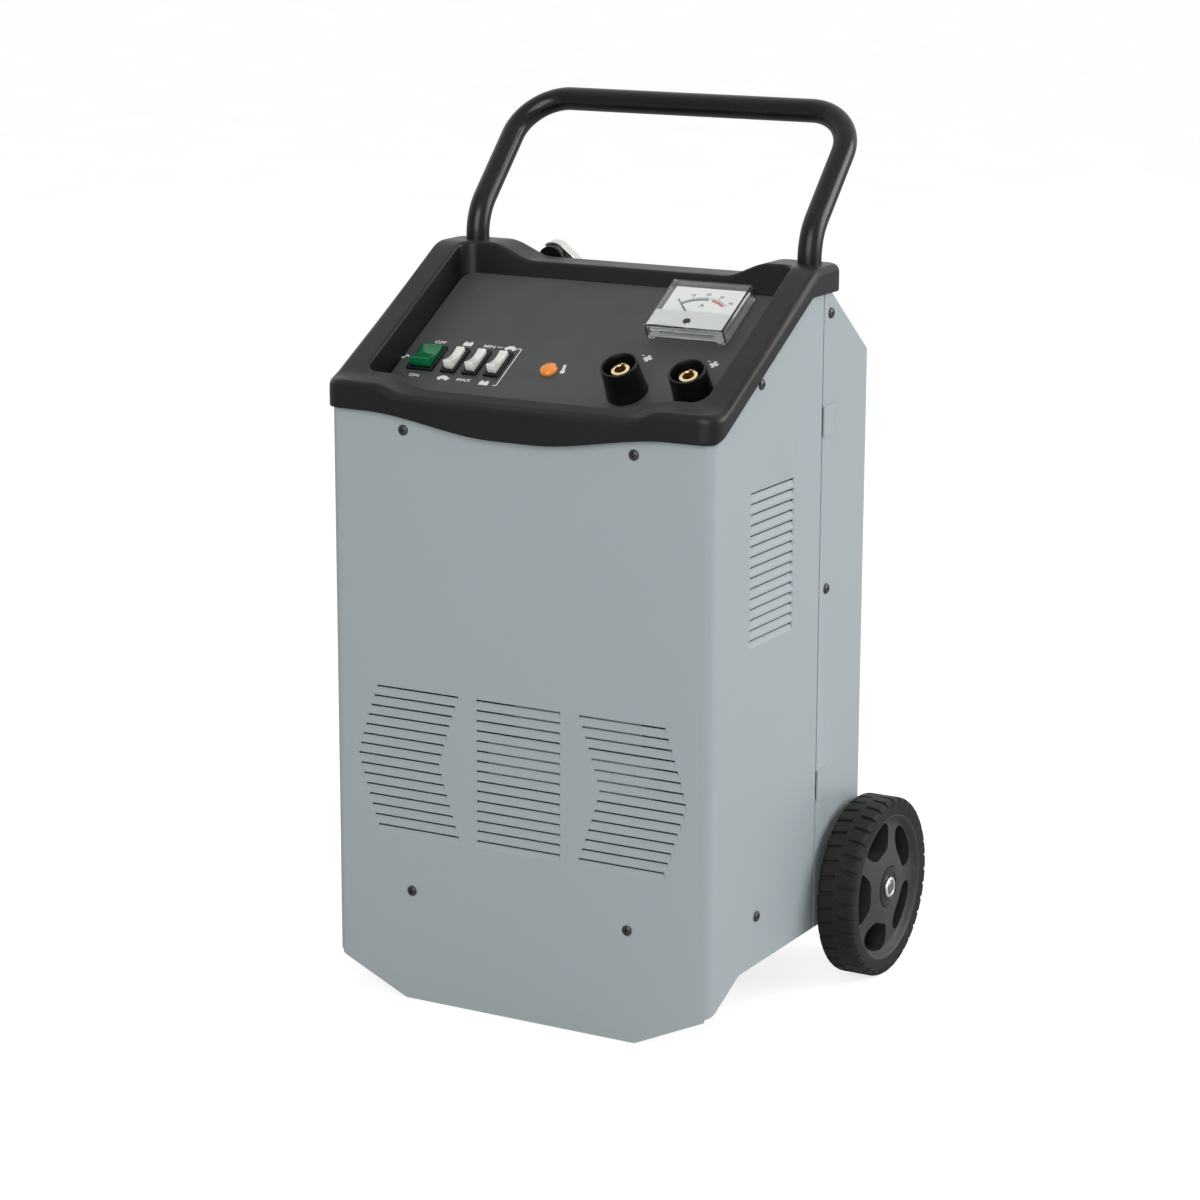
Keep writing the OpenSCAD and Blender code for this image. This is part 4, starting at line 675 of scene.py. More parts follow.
def build_effects():
    """The effects that finishes share: tone, handling marks, grain, peel, dust, worn edges and lines."""
    t, (i, o) = effect("tone_drift", [("Vector", "Vector", None), ("Base", "Color", (0.5, 0.5, 0.5, 1)),
                                      ("Tint", "Color", (0.5, 0.5, 0.5, 1)), ("Scale", "Float", 8.0),
                                      ("Amount", "Float", 0.3)], [("Color", "Color")])
    wide = t.noise(i.outputs["Vector"], i.outputs["Scale"], 4.0)
    fine = t.noise(i.outputs["Vector"], t.maths("MULTIPLY", i.outputs["Scale"], 13.0), 2.0)
    both = t.maths("ADD", t.maths("MULTIPLY", wide, 0.7), t.maths("MULTIPLY", fine, 0.3))
    share = t.maths("MULTIPLY", both, i.outputs["Amount"], clamp=True)
    t.set(o, "Color", t.mix("RGBA", share, i.outputs["Base"], i.outputs["Tint"]))

    t, (i, o) = effect("handling",
                       [("Vector", "Vector", None), ("Scale", "Float", 9.0), ("Low", "Float", 0.3),
                        ("High", "Float", 0.5)], [("Roughness", "Float")])
    smears = t.noise(i.outputs["Vector"], i.outputs["Scale"], 6.0, 0.62)
    ramp = t.node("MapRange")
    for key, value in (("Value", smears), ("From Min", 0.34), ("From Max", 0.68),
                       ("To Min", i.outputs["Low"]), ("To Max", i.outputs["High"])):
        t.set(ramp, key, value)
    t.set(o, "Roughness", ramp.outputs["Result"])

    t, (i, o) = effect("moulded_grain",
                       [("Vector", "Vector", None), ("Scale", "Float", 900.0), ("Soft", "Float", 0.5)],
                       [("Height", "Float")])
    cells = t.node("TexVoronoi", feature="SMOOTH_F1")
    t.set(cells, "Vector", i.outputs["Vector"])
    t.set(cells, "Scale", i.outputs["Scale"])
    t.set(cells, "Smoothness", 0.6)
    pits = t.noise(i.outputs["Vector"], t.maths("MULTIPLY", i.outputs["Scale"], 0.45), 3.0)
    t.set(o, "Height", t.mix("FLOAT", i.outputs["Soft"], cells.outputs["Distance"], pits))

    t, (i, o) = effect("coat_peel", [("Vector", "Vector", None), ("Scale", "Float", 260.0)],
                       [("Height", "Float")])
    ripple = t.noise(i.outputs["Vector"], i.outputs["Scale"], 1.5, 0.4)
    speck = t.noise(i.outputs["Vector"], t.maths("MULTIPLY", i.outputs["Scale"], 5.0), 2.0)
    t.set(o, "Height", t.mix("FLOAT", 0.22, ripple, speck))

    t, (i, o) = effect("settled_dust",
                       [("Vector", "Vector", None), ("Amount", "Float", 0.2), ("Scale", "Float", 30.0)],
                       [("Mask", "Float")])
    up = t.node("SeparateXYZ")
    t.set(up, 0, t.node("NewGeometry").outputs["Normal"])
    level = t.maths("POWER", t.maths("MAXIMUM", up.outputs["Z"], 0.0), 2.0)
    cloud = t.noise(i.outputs["Vector"], i.outputs["Scale"], 6.0, 0.7)
    t.set(o, "Mask", t.maths("MULTIPLY", t.maths("MULTIPLY", level, cloud), i.outputs["Amount"],
                             clamp=True))

    t, (i, o) = effect("worn_edge",
                       [("Vector", "Vector", None), ("Edge", "Float", 0.0), ("Scale", "Float", 120.0),
                        ("Amount", "Float", 0.5)], [("Mask", "Float")])
    rub = t.noise(i.outputs["Vector"], i.outputs["Scale"], 5.0, 0.7)
    cut = t.maths("MULTIPLY", t.maths("SUBTRACT", rub, 0.5), 6.0, clamp=True)
    t.set(o, "Mask", t.maths("MULTIPLY", t.maths("MULTIPLY", cut, i.outputs["Edge"]), i.outputs["Amount"],
                             clamp=True))

    t, (i, o) = effect("fine_lines", [("Vector", "Vector", None), ("Along", "Vector", (1.0, 1.0, 40.0)),
                                      ("Scale", "Float", 40.0)], [("Height", "Float")])
    stretch = t.node("VectorMath", operation="MULTIPLY")
    t.set(stretch, 0, i.outputs["Vector"])
    t.set(stretch, 1, i.outputs["Along"])
    t.set(o, "Height", t.noise(stretch.outputs[0], i.outputs["Scale"], 4.0, 0.6))


def use(t, name, **values):
    """Places a shared effect in a material and returns its one output."""
    n = t.node("Group", node_tree=EFFECTS[name])
    for key, value in values.items():
        t.set(n, key, value)
    return n.outputs[0]


def rgba(c, k=1.0):
    """A colour times k, with alpha 1."""
    return (c[0] * k, c[1] * k, c[2] * k, 1.0)


def scaled(c, k):
    """A colour times k, kept within 1."""
    return [min(1, x * k) for x in c]


def finish(name, slot, base, tint, drift, rough, smear, grain=None, peel=None, lines=None,
           dust=0.0, wear=0.0, metallic=0.0, **plain):
    """A material: base and tint drift into each other, roughness wanders, and one relief gives bump.

    drift is (scale, amount) and smear the scale of the roughness. grain, peel and lines are (scale, height
    in mm); lines adds its stretch. dust and wear are amounts. plain holds values for the shader's own
    sockets.
    """
    mat = bpy.data.materials.new(name)
    mat.use_nodes = True
    t = Tree(mat.node_tree)
    shader = mat.node_tree.nodes["Principled BSDF"]
    place = t.node("TexCoord").outputs["Object"]
    tone = use(t, "tone_drift", Vector=place, Base=rgba(base), Tint=rgba(tint),
               Scale=drift[0], Amount=drift[1])
    roughness = use(t, "handling", Vector=place, Scale=smear, Low=rough[0], High=rough[1])
    if dust:
        mask = use(t, "settled_dust", Vector=place, Amount=dust, Scale=34.0)
        tone = t.mix("RGBA", mask, tone, (0.42, 0.40, 0.37, 1))
        roughness = t.mix("FLOAT", mask, roughness, 0.85)
    if wear:
        edge = t.node("Attribute", attribute_name="edge").outputs["Fac"]
        mask = use(t, "worn_edge", Vector=place, Edge=edge, Scale=150.0, Amount=wear)
        tone = t.mix("RGBA", mask, tone, rgba([min(1, x * 2.6 + 0.02) for x in base]))
    t.set(shader, "Base Color", tone)
    t.set(shader, "Roughness", roughness)
    t.set(shader, "Metallic", metallic)
    for key, value in plain.items():
        shader.inputs[key.replace("_", " ")].default_value = value
    relief = None
    if grain:
        relief, depth = use(t, "moulded_grain", Vector=place, Scale=grain[0], Soft=0.45), grain[1]
    if peel:
        relief, depth = use(t, "coat_peel", Vector=place, Scale=peel[0]), peel[1]
    if lines:
        relief, depth = use(t, "fine_lines", Vector=place, Scale=lines[0], Along=lines[2]), lines[1]
    if relief:
        bump = t.node("Bump")
        t.set(bump, "Strength", 1.0)
        t.set(bump, "Distance", depth * MM)
        t.set(bump, "Height", relief)
        t.set(shader, "Normal", bump.outputs["Normal"])
    mat.diffuse_color = rgba(base)
    mat.metallic = metallic
    FINISHES[name] = mat
    SLOT_OF[name] = slot


def build_finishes(s):
    """Every finish of the object, in plain words."""
    c = s.charger_colours
    build_effects()
    finish("cabinet_coat", "cabinet_paint", c.paint, scaled(c.paint, 1.07), (5.0, 0.6), (0.33, 0.42), 7.0,
           peel=(330.0, 0.035), dust=0.05, Specular_IOR_Level=0.5)
    finish("zinc_plate", "plated_sheet", c.zinc, (0.70, 0.68, 0.60), (22.0, 0.6), (0.24, 0.42), 40.0,
           lines=(60.0, 0.02, (1.0, 6.0, 1.0)), metallic=1.0)
    finish("bezel_plastic", "black_moulding", c.moulding, scaled(c.moulding, 1.3), (9.0, 0.6), (0.36, 0.50),
           12.0, grain=(1500.0, 0.05), dust=0.04, wear=0.10, Specular_IOR_Level=0.28)
    finish("panel_plastic", "panel_moulding", c.plate, scaled(c.plate, 1.18), (7.0, 0.5), (0.44, 0.56),
           11.0, grain=(2300.0, 0.02), dust=0.06)
    finish("print_white", "panel_moulding", c.ink, scaled(c.ink, 0.93), (90.0, 0.6), (0.45, 0.6), 60.0)
    finish("handle_coat", "black_tube", c.tube, scaled(c.tube, 1.6), (10.0, 0.5), (0.20, 0.32), 14.0,
           peel=(420.0, 0.03), dust=0.02, Specular_IOR_Level=0.3)
    finish("axle_dark", "axle_steel", (0.16, 0.16, 0.165), (0.24, 0.23, 0.22), (60.0, 0.6), (0.3, 0.5),
           70.0, lines=(160.0, 0.01, (1.0, 1.0, 8.0)), metallic=0.9)
    finish("wheel_plastic", "rim_moulding", c.rim, scaled(c.rim, 1.2), (14.0, 0.6), (0.48, 0.62), 16.0,
           grain=(1300.0, 0.04), dust=0.05, wear=0.12, Specular_IOR_Level=0.3)
    finish("tyre_plastic", "tyre", c.tyre, scaled(c.tyre, 1.35), (20.0, 0.7), (0.58, 0.76), 22.0,
           grain=(1000.0, 0.06), dust=0.05, wear=0.12, Specular_IOR_Level=0.22)
    finish("bush_black", "black_nylon", (0.004, 0.004, 0.004), (0.008, 0.008, 0.008), (30.0, 0.5),
           (0.28, 0.4), 40.0, grain=(2600.0, 0.01), Specular_IOR_Level=0.25)
    finish("laminations", "lamination_steel", (0.11, 0.105, 0.10), (0.17, 0.14, 0.11), (25.0, 0.7),
           (0.45, 0.65), 30.0, lines=(10.0, 0.12, (1.0, 180.0, 1.0)), metallic=0.6)
    finish("enamel_wire", "winding_wire", (0.42, 0.13, 0.035), (0.55, 0.22, 0.07), (60.0, 0.7), (0.2, 0.34),
           40.0, lines=(10.0, 0.05, (1.0, 1.0, 90.0)), metallic=0.35, Coat_Weight=0.5, Coat_Roughness=0.1)
    finish("sink_alloy", "heat_sink_alloy", (0.66, 0.67, 0.68), (0.74, 0.74, 0.74), (40.0, 0.5),
           (0.3, 0.45), 40.0, lines=(70.0, 0.02, (1.0, 12.0, 1.0)), metallic=1.0)
    finish("paper_board", "board", (0.36, 0.20, 0.09), (0.44, 0.26, 0.13), (80.0, 0.8), (0.5, 0.65), 60.0,
           grain=(700.0, 0.03))
    finish("cutout_resin", "cutout_body", (0.60, 0.56, 0.46), (0.68, 0.64, 0.54), (60.0, 0.5), (0.4, 0.5),
           60.0, grain=(1500.0, 0.02))
    finish("dial_paper", "dial_white", (0.93, 0.93, 0.91), (0.88, 0.88, 0.86), (60.0, 0.7), (0.42, 0.55),
           40.0, grain=(2600.0, 0.006))
    finish("dial_black", "dial_white", (0.03, 0.03, 0.03), (0.05, 0.05, 0.05), (60.0, 0.5), (0.45, 0.6),
           60.0)
    finish("dial_green", "dial_white", (0.02, 0.20, 0.13), (0.03, 0.26, 0.16), (60.0, 0.5), (0.45, 0.6),
           60.0)
    finish("dial_red", "dial_white", (0.60, 0.03, 0.03), (0.70, 0.06, 0.05), (60.0, 0.5), (0.45, 0.6), 60.0)
    finish("needle_coat", "needle_black", (0.012, 0.012, 0.012), (0.02, 0.02, 0.02), (50.0, 0.5),
           (0.35, 0.5), 50.0)
    finish("case_plastic", "apron_grey", (0.60, 0.62, 0.62), (0.68, 0.69, 0.69), (50.0, 0.6), (0.35, 0.5),
           40.0, grain=(2400.0, 0.01))
    finish("apron_plastic", "apron_grey", (0.66, 0.68, 0.68), (0.76, 0.77, 0.77), (30.0, 0.6), (0.38, 0.5),
           30.0, grain=(2400.0, 0.01))
    finish("rocker_ivory", "rocker_white", c.white, scaled(c.white, 0.95), (40.0, 0.6), (0.26, 0.38), 30.0,
           grain=(3000.0, 0.006), Subsurface_Weight=0.08, Subsurface_Scale=0.002)
    finish("lamp_amber", "lamp_orange", c.orange, scaled(c.orange, 1.1), (120.0, 0.7), (0.14, 0.24), 60.0,
           Coat_Weight=0.4, Coat_Roughness=0.06)
    finish("lamp_sleeve", "lamp_case", (0.66, 0.66, 0.60), (0.72, 0.72, 0.66), (60.0, 0.6), (0.4, 0.5),
           60.0, grain=(1600.0, 0.01))
    finish("socket_black", "socket_moulding", (0.0035, 0.0035, 0.0038), (0.006, 0.006, 0.0065), (26.0, 0.6),
           (0.30, 0.44), 30.0, grain=(2100.0, 0.02), Specular_IOR_Level=0.3)
    finish("turned_brass", "contact_brass", c.brass, (0.90, 0.66, 0.32), (70.0, 0.7), (0.14, 0.30), 90.0,
           lines=(120.0, 0.006, (1.0, 1.0, 1.0)), metallic=1.0)
    finish("screw_black", "black_screw", (0.016, 0.016, 0.017), (0.03, 0.03, 0.03), (90.0, 0.7),
           (0.28, 0.42), 120.0, grain=(2600.0, 0.008), Specular_IOR_Level=0.6)
    clear_finishes(c)


def clear_finishes(c):
    """The two see-through plastics: transmission on the shader's own socket, and haze in the roughness."""
    for name, slot, tone, low, high, weight in (
            ("meter_glass", "meter_clear", (0.97, 0.98, 0.985), 0.02, 0.07, 1.0),
            ("rocker_tint", "rocker_green", tuple(c.green), 0.08, 0.18, 0.35)):
        mat = bpy.data.materials.new(name)
        mat.use_nodes = True
        t = Tree(mat.node_tree)
        shader = mat.node_tree.nodes["Principled BSDF"]
        place = t.node("TexCoord").outputs["Object"]
        t.set(shader, "Base Color",
              use(t, "tone_drift", Vector=place, Base=rgba(tone),
                  Tint=rgba(tone, 1.12 if weight < 1 else 0.99), Scale=60.0, Amount=0.6))
        t.set(shader, "Roughness", use(t, "handling", Vector=place, Scale=45.0, Low=low, High=high))
        shader.inputs["Transmission Weight"].default_value = weight
        shader.inputs["IOR"].default_value = 1.49
        FINISHES[name], SLOT_OF[name] = mat, slot


# ------------------------------------------------------------------ cabinet


def cabinet_sheets(s):
    """Front shell and rear cover: the CAD sheets with softened edges and a painted finish."""
    width = s.charger_cabinet.edge / MM
    softened("front_shell", "cabinet_front", "cabinet_coat", width)
    softened("rear_cover", "cabinet_rear", "cabinet_coat", width)


def bezel_moulding(s):
    """The moulded top: one section for each place round its rim, carried round the rim.

    The section is outer wall, rounded edge, sloped top, rounded edge, drafted tray wall, ledge and inner
    side. Its top follows skin(x, y), the softened lesser of the rear rim and of the softened greater of
    rail and lip; its foot follows hem(x, y).
    """
    b, cab = sizes(s.charger_bezel), sizes(s.charger_cabinet)
    slope, cosine = math.tan(s.charger_panel.slope), math.cos(s.charger_panel.slope)
    rail_z = cab.body_height + b.rail_height
    shoulder_z = shoulder_height(s)
    rim_z, lip_z = shoulder_z - b.shoulder, cab.body_height + 11.7
    panel_z = rail_z - b.tray_depth / cosine
    bx = cab.width / 2 + b.overhang
    tray_x, tray_r, tray_back = bx - b.rail, 12.0, 176.0

    def skin(x, y):
        rail = rail_z + slope * y
        lip = lip_z + b.lip_dip * step(94, 130, np.abs(x))
        rim = rim_z + b.shoulder * step(88, 130, np.abs(x))
        return soft_min(-soft_min(-rail, -lip, 5), rim, 5)

    def hem(x, y):
        front = cab.body_height - b.lip_sag + b.lip_sag * step(18, 138, np.abs(x))
        side = np.minimum(shoulder_z - 22, front + slope * np.maximum(0, y))
        back = cab.back_top + (cab.depth - b.depth + b.wall) * cab.top_fall + 0.3
        return np.where(y > b.depth - 1, side + (back - side) * step(bx - 8, bx - 20, np.abs(x)), side)

    def tray_front(x):
        return 6.5 + 13.5 * step(80, 134, np.abs(x))

    t = np.linspace(-1, 1, 121)
    xi = t * (tray_x - tray_r)
    outer = [np.stack([t * (bx - b.front_radius), -b.front_overhang - b.bulge * (1 - t * t)], -1)]
    inner = [np.stack([xi, tray_front(xi)], -1)]

    def corner(cx, cy, r, ix, iy, a0):
        outer.append(arc(cx, cy, r, a0, a0 + 90, 16)[1:-1])
        inner.append(arc(ix, iy, tray_r, a0, a0 + 90, 16)[1:-1])

    def run(a, z, ia, iz, n):
        k = np.linspace(0, 1, n)[:, None]
        outer.append(np.array(a) + (np.array(z) - np.array(a)) * k)
        inner.append(np.array(ia) + (np.array(iz) - np.array(ia)) * k)

    fy, ry = b.front_radius - b.front_overhang, b.depth - b.rear_radius
    ify, iry = 20 + tray_r, tray_back - tray_r
    ox, ix = bx - b.front_radius, tray_x - tray_r
    rx = bx - b.rear_radius
    corner(ox, fy, b.front_radius, ix, ify, -90)
    run((bx, fy), (bx, ry), (tray_x, ify), (tray_x, iry), 40)
    corner(rx, ry, b.rear_radius, ix, iry, 0)
    run((rx, b.depth), (-rx, b.depth), (ix, tray_back), (-ix, tray_back), 110)
    corner(-rx, ry, b.rear_radius, -ix, iry, 90)
    run((-bx, ry), (-bx, fy), (-tray_x, iry), (-tray_x, ify), 40)
    corner(-ox, fy, b.front_radius, -ix, ify, 180)
    o, i = np.vstack(outer), np.vstack(inner)
    w = np.linalg.norm(i - o, axis=1)
    d = (i - o) / w[:, None]

    def at(t):
        return o[:, 0] + d[:, 0] * t, o[:, 1] + d[:, 1] * t

    def row(t, z):
        x, y = at(t)
        return np.stack([x, y, z + 0 * x], -1)

    def top(t):
        return skin(*at(t))

    def seat(t):
        return panel_z + slope * at(t)[1] - 2.15 / cosine

    ro, ri, q = np.minimum(b.outer_round, w / 2 - 1), b.inner_round, b.wall
    h = hem(o[:, 0], o[:, 1])
    base = top(0.5 * ro) - ro
    rows = [row(1.0, h), row(0.3, h + 0.25), row(0.0, h + 1.0)]
    edge = [0.5, 0.9, 0.6]
    for k in np.linspace(0.12, 0.88, 5):
        rows.append(row(0.0, h + 1 + (base - h - 1) * k))
        edge.append(0)
    for a in np.linspace(0, np.pi / 2, 11):
        t = ro * (1 - math.cos(a))
        rows.append(row(t, top(np.maximum(t, 0.5 * ro)) - ro * (1 - math.sin(a))))
        edge.append(math.sin(2 * a) ** 2)
    for k in np.linspace(0.1, 0.9, 9):
        t = ro + (w - ri - ro) * k
        rows.append(row(t, top(t)))
        edge.append(0)
    for a in np.linspace(0, np.pi / 2, 8):
        t = w - ri * (1 - math.sin(a))
        rows.append(row(t, top(t) - ri * (1 - math.cos(a))))
        edge.append(math.sin(2 * a))
    z0, z1 = top(w) - ri, seat(w + 1.6)
    for k in (0.33, 0.66, 1.0):
        rows.append(row(w + 1.6 * k, z0 + (z1 - z0) * k))
        edge.append(0)
    rows += [row(w + 8, seat(w + 8)), row(w + 8, seat(w + 8) - 2.5), row(w - q, seat(w - q) - 2.5),
             row(w - q, top(w - q) - q - 2), row(w - q - 2, top(w - q - 2) - q), row(q + 2, top(q + 2) - q),
             row(q, top(q) - q - 2.5), row(q, h)]
    edge += [0] * 8
    loops = np.stack(rows, 1)
    put("bezel_moulding", loft(loops, wrap=True), "bezel_plastic", nodes=["top_bezel"], sharp=42,
        edge=np.tile(edge, len(loops)))


def base_and_inside(s):
    """The CAD pieces inside the cabinet and under it, which keep their shapes and get their finishes."""
    plain = {
        "zinc_plate": "base_tray handle_spacers transformer_brackets transformer_bolts rectifier_diodes "
                      "socket_nuts",
        "panel_plastic": "control_panel",
        "bush_black": "wheel_spacers",
        "laminations": "transformer_core",
        "sink_alloy": "heat_sink",
        "paper_board": "rectifier_board",
        "cutout_resin": "thermal_cutout",
        "case_plastic": "meter_case",
        "lamp_sleeve": "lamp_body",
        "dial_paper": "meter_dial",
        "needle_coat": "meter_needle",
        "apron_plastic": "meter_apron",
    }
    for name, nodes in plain.items():
        for node in nodes.split():
            obj = frame["nodes"][node]
            obj.data.materials.clear()
            obj.data.materials.append(FINISHES[name])
            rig.slot(obj, SLOT_OF[name])


def windings(s):
    """Wound coils: a rounded rectangle whose wall swells outwards once for each turn.

    The outline at height z is inset by r(1 - |sin(pi z / pitch)|), so each turn stands out as a half round.
    """
    for node in ("primary_winding", "secondary_winding"):
        low, high = [np.array(v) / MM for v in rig.box(node)]
        size = high - low
        turns = 14 if node == "primary_winding" else 8
        pitch = size[2] / turns
        z = np.linspace(0, size[2], turns * 8 + 1)
        bulge = np.abs(np.sin(np.pi * z / pitch)) ** 0.7
        outer, hole = rounded(size[0], size[1], 8, 6), rounded(size[0] - 48, size[1] - 45, 1, 6)
        loops = [at_height(outer, pitch * 0.3 * (1 - k), h) for h, k in zip(z, bulge)]
        loops += [at_height(hole, 0, h) for h in (size[2], 0.0)]
        centre = (low + high) / 2
        points, faces = loft(loops, wrap=True)
        points = points + [centre[0], centre[1] + FRONT_FACE_Y, low[2]]
        put(node.replace("winding", "coil"), (points, faces), "enamel_wire", nodes=[node], sharp=60)


# ------------------------------------------------------------------ handle


def handle(s):
    """The bent tube: leg, low bend, leaning leg, grip corner and bar, and the same mirrored.

    Low bend: (y, z) = centre + r(-cos a, sin a). Grip corner: centre + r(cos a along x, sin a along the
    lean).
    """
    h = sizes(s.charger_handle)
    x = s.charger_cabinet.width / MM / 2 - h.leg_inset
    turn = math.pi / 2 - h.lean
    cut = h.low_radius * math.tan(turn / 2)
    knee = h.bend_z - cut
    lean = np.array([0, math.sin(turn), math.cos(turn)])
    run = h.rise / math.sin(h.lean) - cut - h.grip_radius
    leg = [(x, h.leg_y, z) for z in (h.leg_bottom, h.leg_bottom + 2, 420, 520, knee - 3)]
    a = np.linspace(0, turn, 22)[:, None]
    bend = np.hstack([x + 0 * a, h.leg_y + h.low_radius * (1 - np.cos(a)), knee + h.low_radius * np.sin(a)])
    start = bend[-1]
    straight = start + lean * np.array([[3.0], [run / 2], [run - 3]])
    a = np.linspace(0, np.pi / 2, 30)[:, None]
    middle = start + lean * run - [h.grip_radius, 0, 0]
    corner = middle + h.grip_radius * (np.cos(a) * [1, 0, 0] + np.sin(a) * lean)
    bar = corner[-1] - np.array([[3.0, 0, 0], [corner[-1][0] / 2, 0, 0]])
    half = np.vstack([leg, bend, straight, corner, bar])
    path = np.vstack([half, [0, half[-1, 1], half[-1, 2]], half[::-1] * [-1, 1, 1]])
    tangent = np.gradient(path, axis=0)
    sideways = np.cross(tangent, [1, 0, 0])
    sideways[len(half):] *= -1
    flat = np.cross(lean, [1, 0, 0])
    top = np.arange(len(leg) + len(bend) + len(straight), len(path) - len(leg) - len(bend) - len(straight))
    sideways[top] = flat
    put("handle_tube_bent", tube(path, sideways, h.diameter / 2, 64), "handle_coat", nodes=["handle_tube"])


# ------------------------------------------------------------------ wheels


def tyre_surface(w):
    """The tyre: its section turned about the axle, with the tread pulled in between the lugs.

    Radius = section - depth G, where G rises from 0 to 1 within the groove's width and fades past its row's
    end. The second result marks the points of the tread's two shoulders, where it wears.
    """
    r, bore = w.diameter / 2, w.diameter / 2 - w.tyre
    section = np.vstack([
        [[bore + 0.1, 0.6], [bore + 0.6, 0], [bore + 6, 0]], arc(r - 4.4, 4.4, 4.4, -86, 0, 7),
        [[r, y] for y in np.linspace(6, w.width / 2 - 1.4, 7)], [[r, w.width / 2 + 1.4]],
        [[r, y] for y in np.linspace(w.width / 2 + 2.4, w.width - 6, 6)],
        arc(r - 4.4, w.width - 4.4, 4.4, 0, 86, 7),
        [[bore + 5.6, w.width - 0.25], [bore + 2.4, w.width - 0.4], [bore + 0.5, w.width - 0.5],
         [bore + 0.12, w.width - 0.6], [bore + 0.05, w.width - 0.9]],
        [[bore, w.width * k] for k in (0.7, 0.35)]])
    half = w.groove / 2
    offsets = np.array([-half - 0.45, -half + 0.15, 0.0, half - 0.15, half + 0.45, np.pi * r / w.lugs / 2])
    a = (np.arange(2 * w.lugs)[:, None] * np.pi / w.lugs + offsets / r).ravel()
    nearest = np.abs(np.tile(offsets, 2 * w.lugs))
    rows = np.repeat(np.arange(2 * w.lugs) % 2, len(offsets))
    radius, width = section[:, :1], section[:, 1:]
    deep = 1 - step(half - 0.16, half + 0.46, nearest)
    reach = np.where(rows == 0, 1 - step(w.width * 0.40, w.width * 0.45, width),
                     step(w.width * 0.55, w.width * 0.60, width))
    tread = step(r - 9, r - 3.5, radius)
    slant = (width - w.width / 2) * 0.16 / r * np.where(rows == 0, -1, 1) * reach * tread
    pull = w.groove_depth * deep * reach * tread
    shoulder = (section[:, 0] > r - 2.5) & (np.abs(section[:, 1] - w.width / 2) > w.width / 2 - 4)
    return loft(ring(radius - pull, a + slant, width), wrap=True), np.repeat(shoulder.astype(float), len(a))


def opening_outline(w, inner, outer):
    """One opening between two spokes in polar form, about its own middle.

    It runs from the inner to the outer radius. Its half angle is a share of the sector that grows fast near
    the inner end, so that end is broad and round, and its outer end follows the rim.
    """
    a = np.radians(np.arange(0, 360, 5.0))
    u = (1 - np.cos(a)) / 2
    half = math.radians(0.395 * 360 / w.spokes)
    across = np.sign(np.sin(a)) * np.abs(np.sin(a)) ** 0.42
    return inner + (outer - inner) * u ** 0.92, half * across * (0.86 + 0.14 * u), a


def wheel_web(w):
    """The rim as one closed surface: a domed star of spokes over blind pockets, hub, back and barrel.

    For each opening, rows go from its sector's border to the opening's rounded edge, down its drafted wall
    and over the pocket's floor. A row is border + (opening - border) v in polar form. The hub and barrel
    are a profile turned through the same angles as the sectors' borders, so that the pieces meet.
    """
    rim, ww = w.diameter / 2 - w.tyre, w.width
    r0, r1, sector = 19.6, rim - 1.2, math.pi / w.spokes
    r, phi, a = opening_outline(w, 31.5, rim - 6.3)
    c, sn = -np.cos(a), np.sin(a)
    k = 1 / np.maximum(np.abs(c), np.abs(sn))
    border_r, border_phi = (r0 + r1) / 2 + c * k * (r1 - r0) / 2, sn * k * sector
    floor_z, soft = 7.0, 2.3

    def level(radius):
        return ww - 6.4 + 5.4 * (1 - step(16, 52, radius)) + 5.9 * step(rim - 6.8, rim - 0.4, radius)

    def row(v, drop=0.0, inwards=0.0, z=None):
        rr, pp = border_r + (r - border_r) * v, border_phi + (phi - border_phi) * v
        flat = np.stack([rr * np.cos(pp), rr * np.sin(pp)], -1)
        if inwards:
            flat = inset(flat, inwards)
        high = level(np.hypot(flat[:, 0], flat[:, 1])) - drop
        return np.column_stack([flat, high if z is None else np.full(len(flat), z)])

    rows = [row(v) for v in (0, 0.15, 0.3, 0.5, 0.7, 0.85, 0.94)]
    rows += [row(1, soft * (1 - math.cos(q)), soft * math.sin(q) * 0.8 + 1e-6)
             for q in np.linspace(0, 1.45, 7)]
    rows += [row(1, inwards=2.3, z=ww - 14), row(1, inwards=2.8, z=floor_z + 1.2),
             row(1, inwards=3.6, z=floor_z + 0.2)]
    rows += [row(1, inwards=6.0, z=floor_z)]
    patch = loft(np.stack(rows, 0), "last")
    start = math.radians(107.5)
    made = []
    for n in range(w.spokes):
        q = start + n * 2 * sector
        made.append(turned(patch, (math.cos(q), math.sin(q), 0), (-math.sin(q), math.cos(q), 0), (0, 0, 0)))
    inner, bore, seat = rim - 5.0, w.axle / 2 + 4.0, 17.65
    profile = np.array([(r0, level(r0)), (18.5, level(18.5)), (seat + 0.2, level(18.5) - 0.1),
                        (seat, level(18.5) - 0.4), (seat, ww - 3), (bore, ww - 3), (bore, 0.6),
                        (bore + 0.4, 0.2), (16.4, 0.2), (17, 0.8), (17, 4.6), (18, 5.4), (inner - 1.5, 5.4),
                        (inner, 4.6), (inner, 1.0), (inner + 0.6, 0.3), (rim - 0.5, 0.3), (rim, 0.8),
                        (rim, ww - 0.75), (rim - 0.15, ww - 0.55), (rim - 0.5, level(rim - 0.5)),
                        (r1, level(r1))])
    turn = np.tan(np.radians(np.arange(-45, 45, 5.0))) * sector
    angles = (start + np.arange(w.spokes)[:, None] * 2 * sector + turn).ravel()
    return merged(made + [loft(ring(profile[:, :1], angles, profile[:, 1:]), "open")])


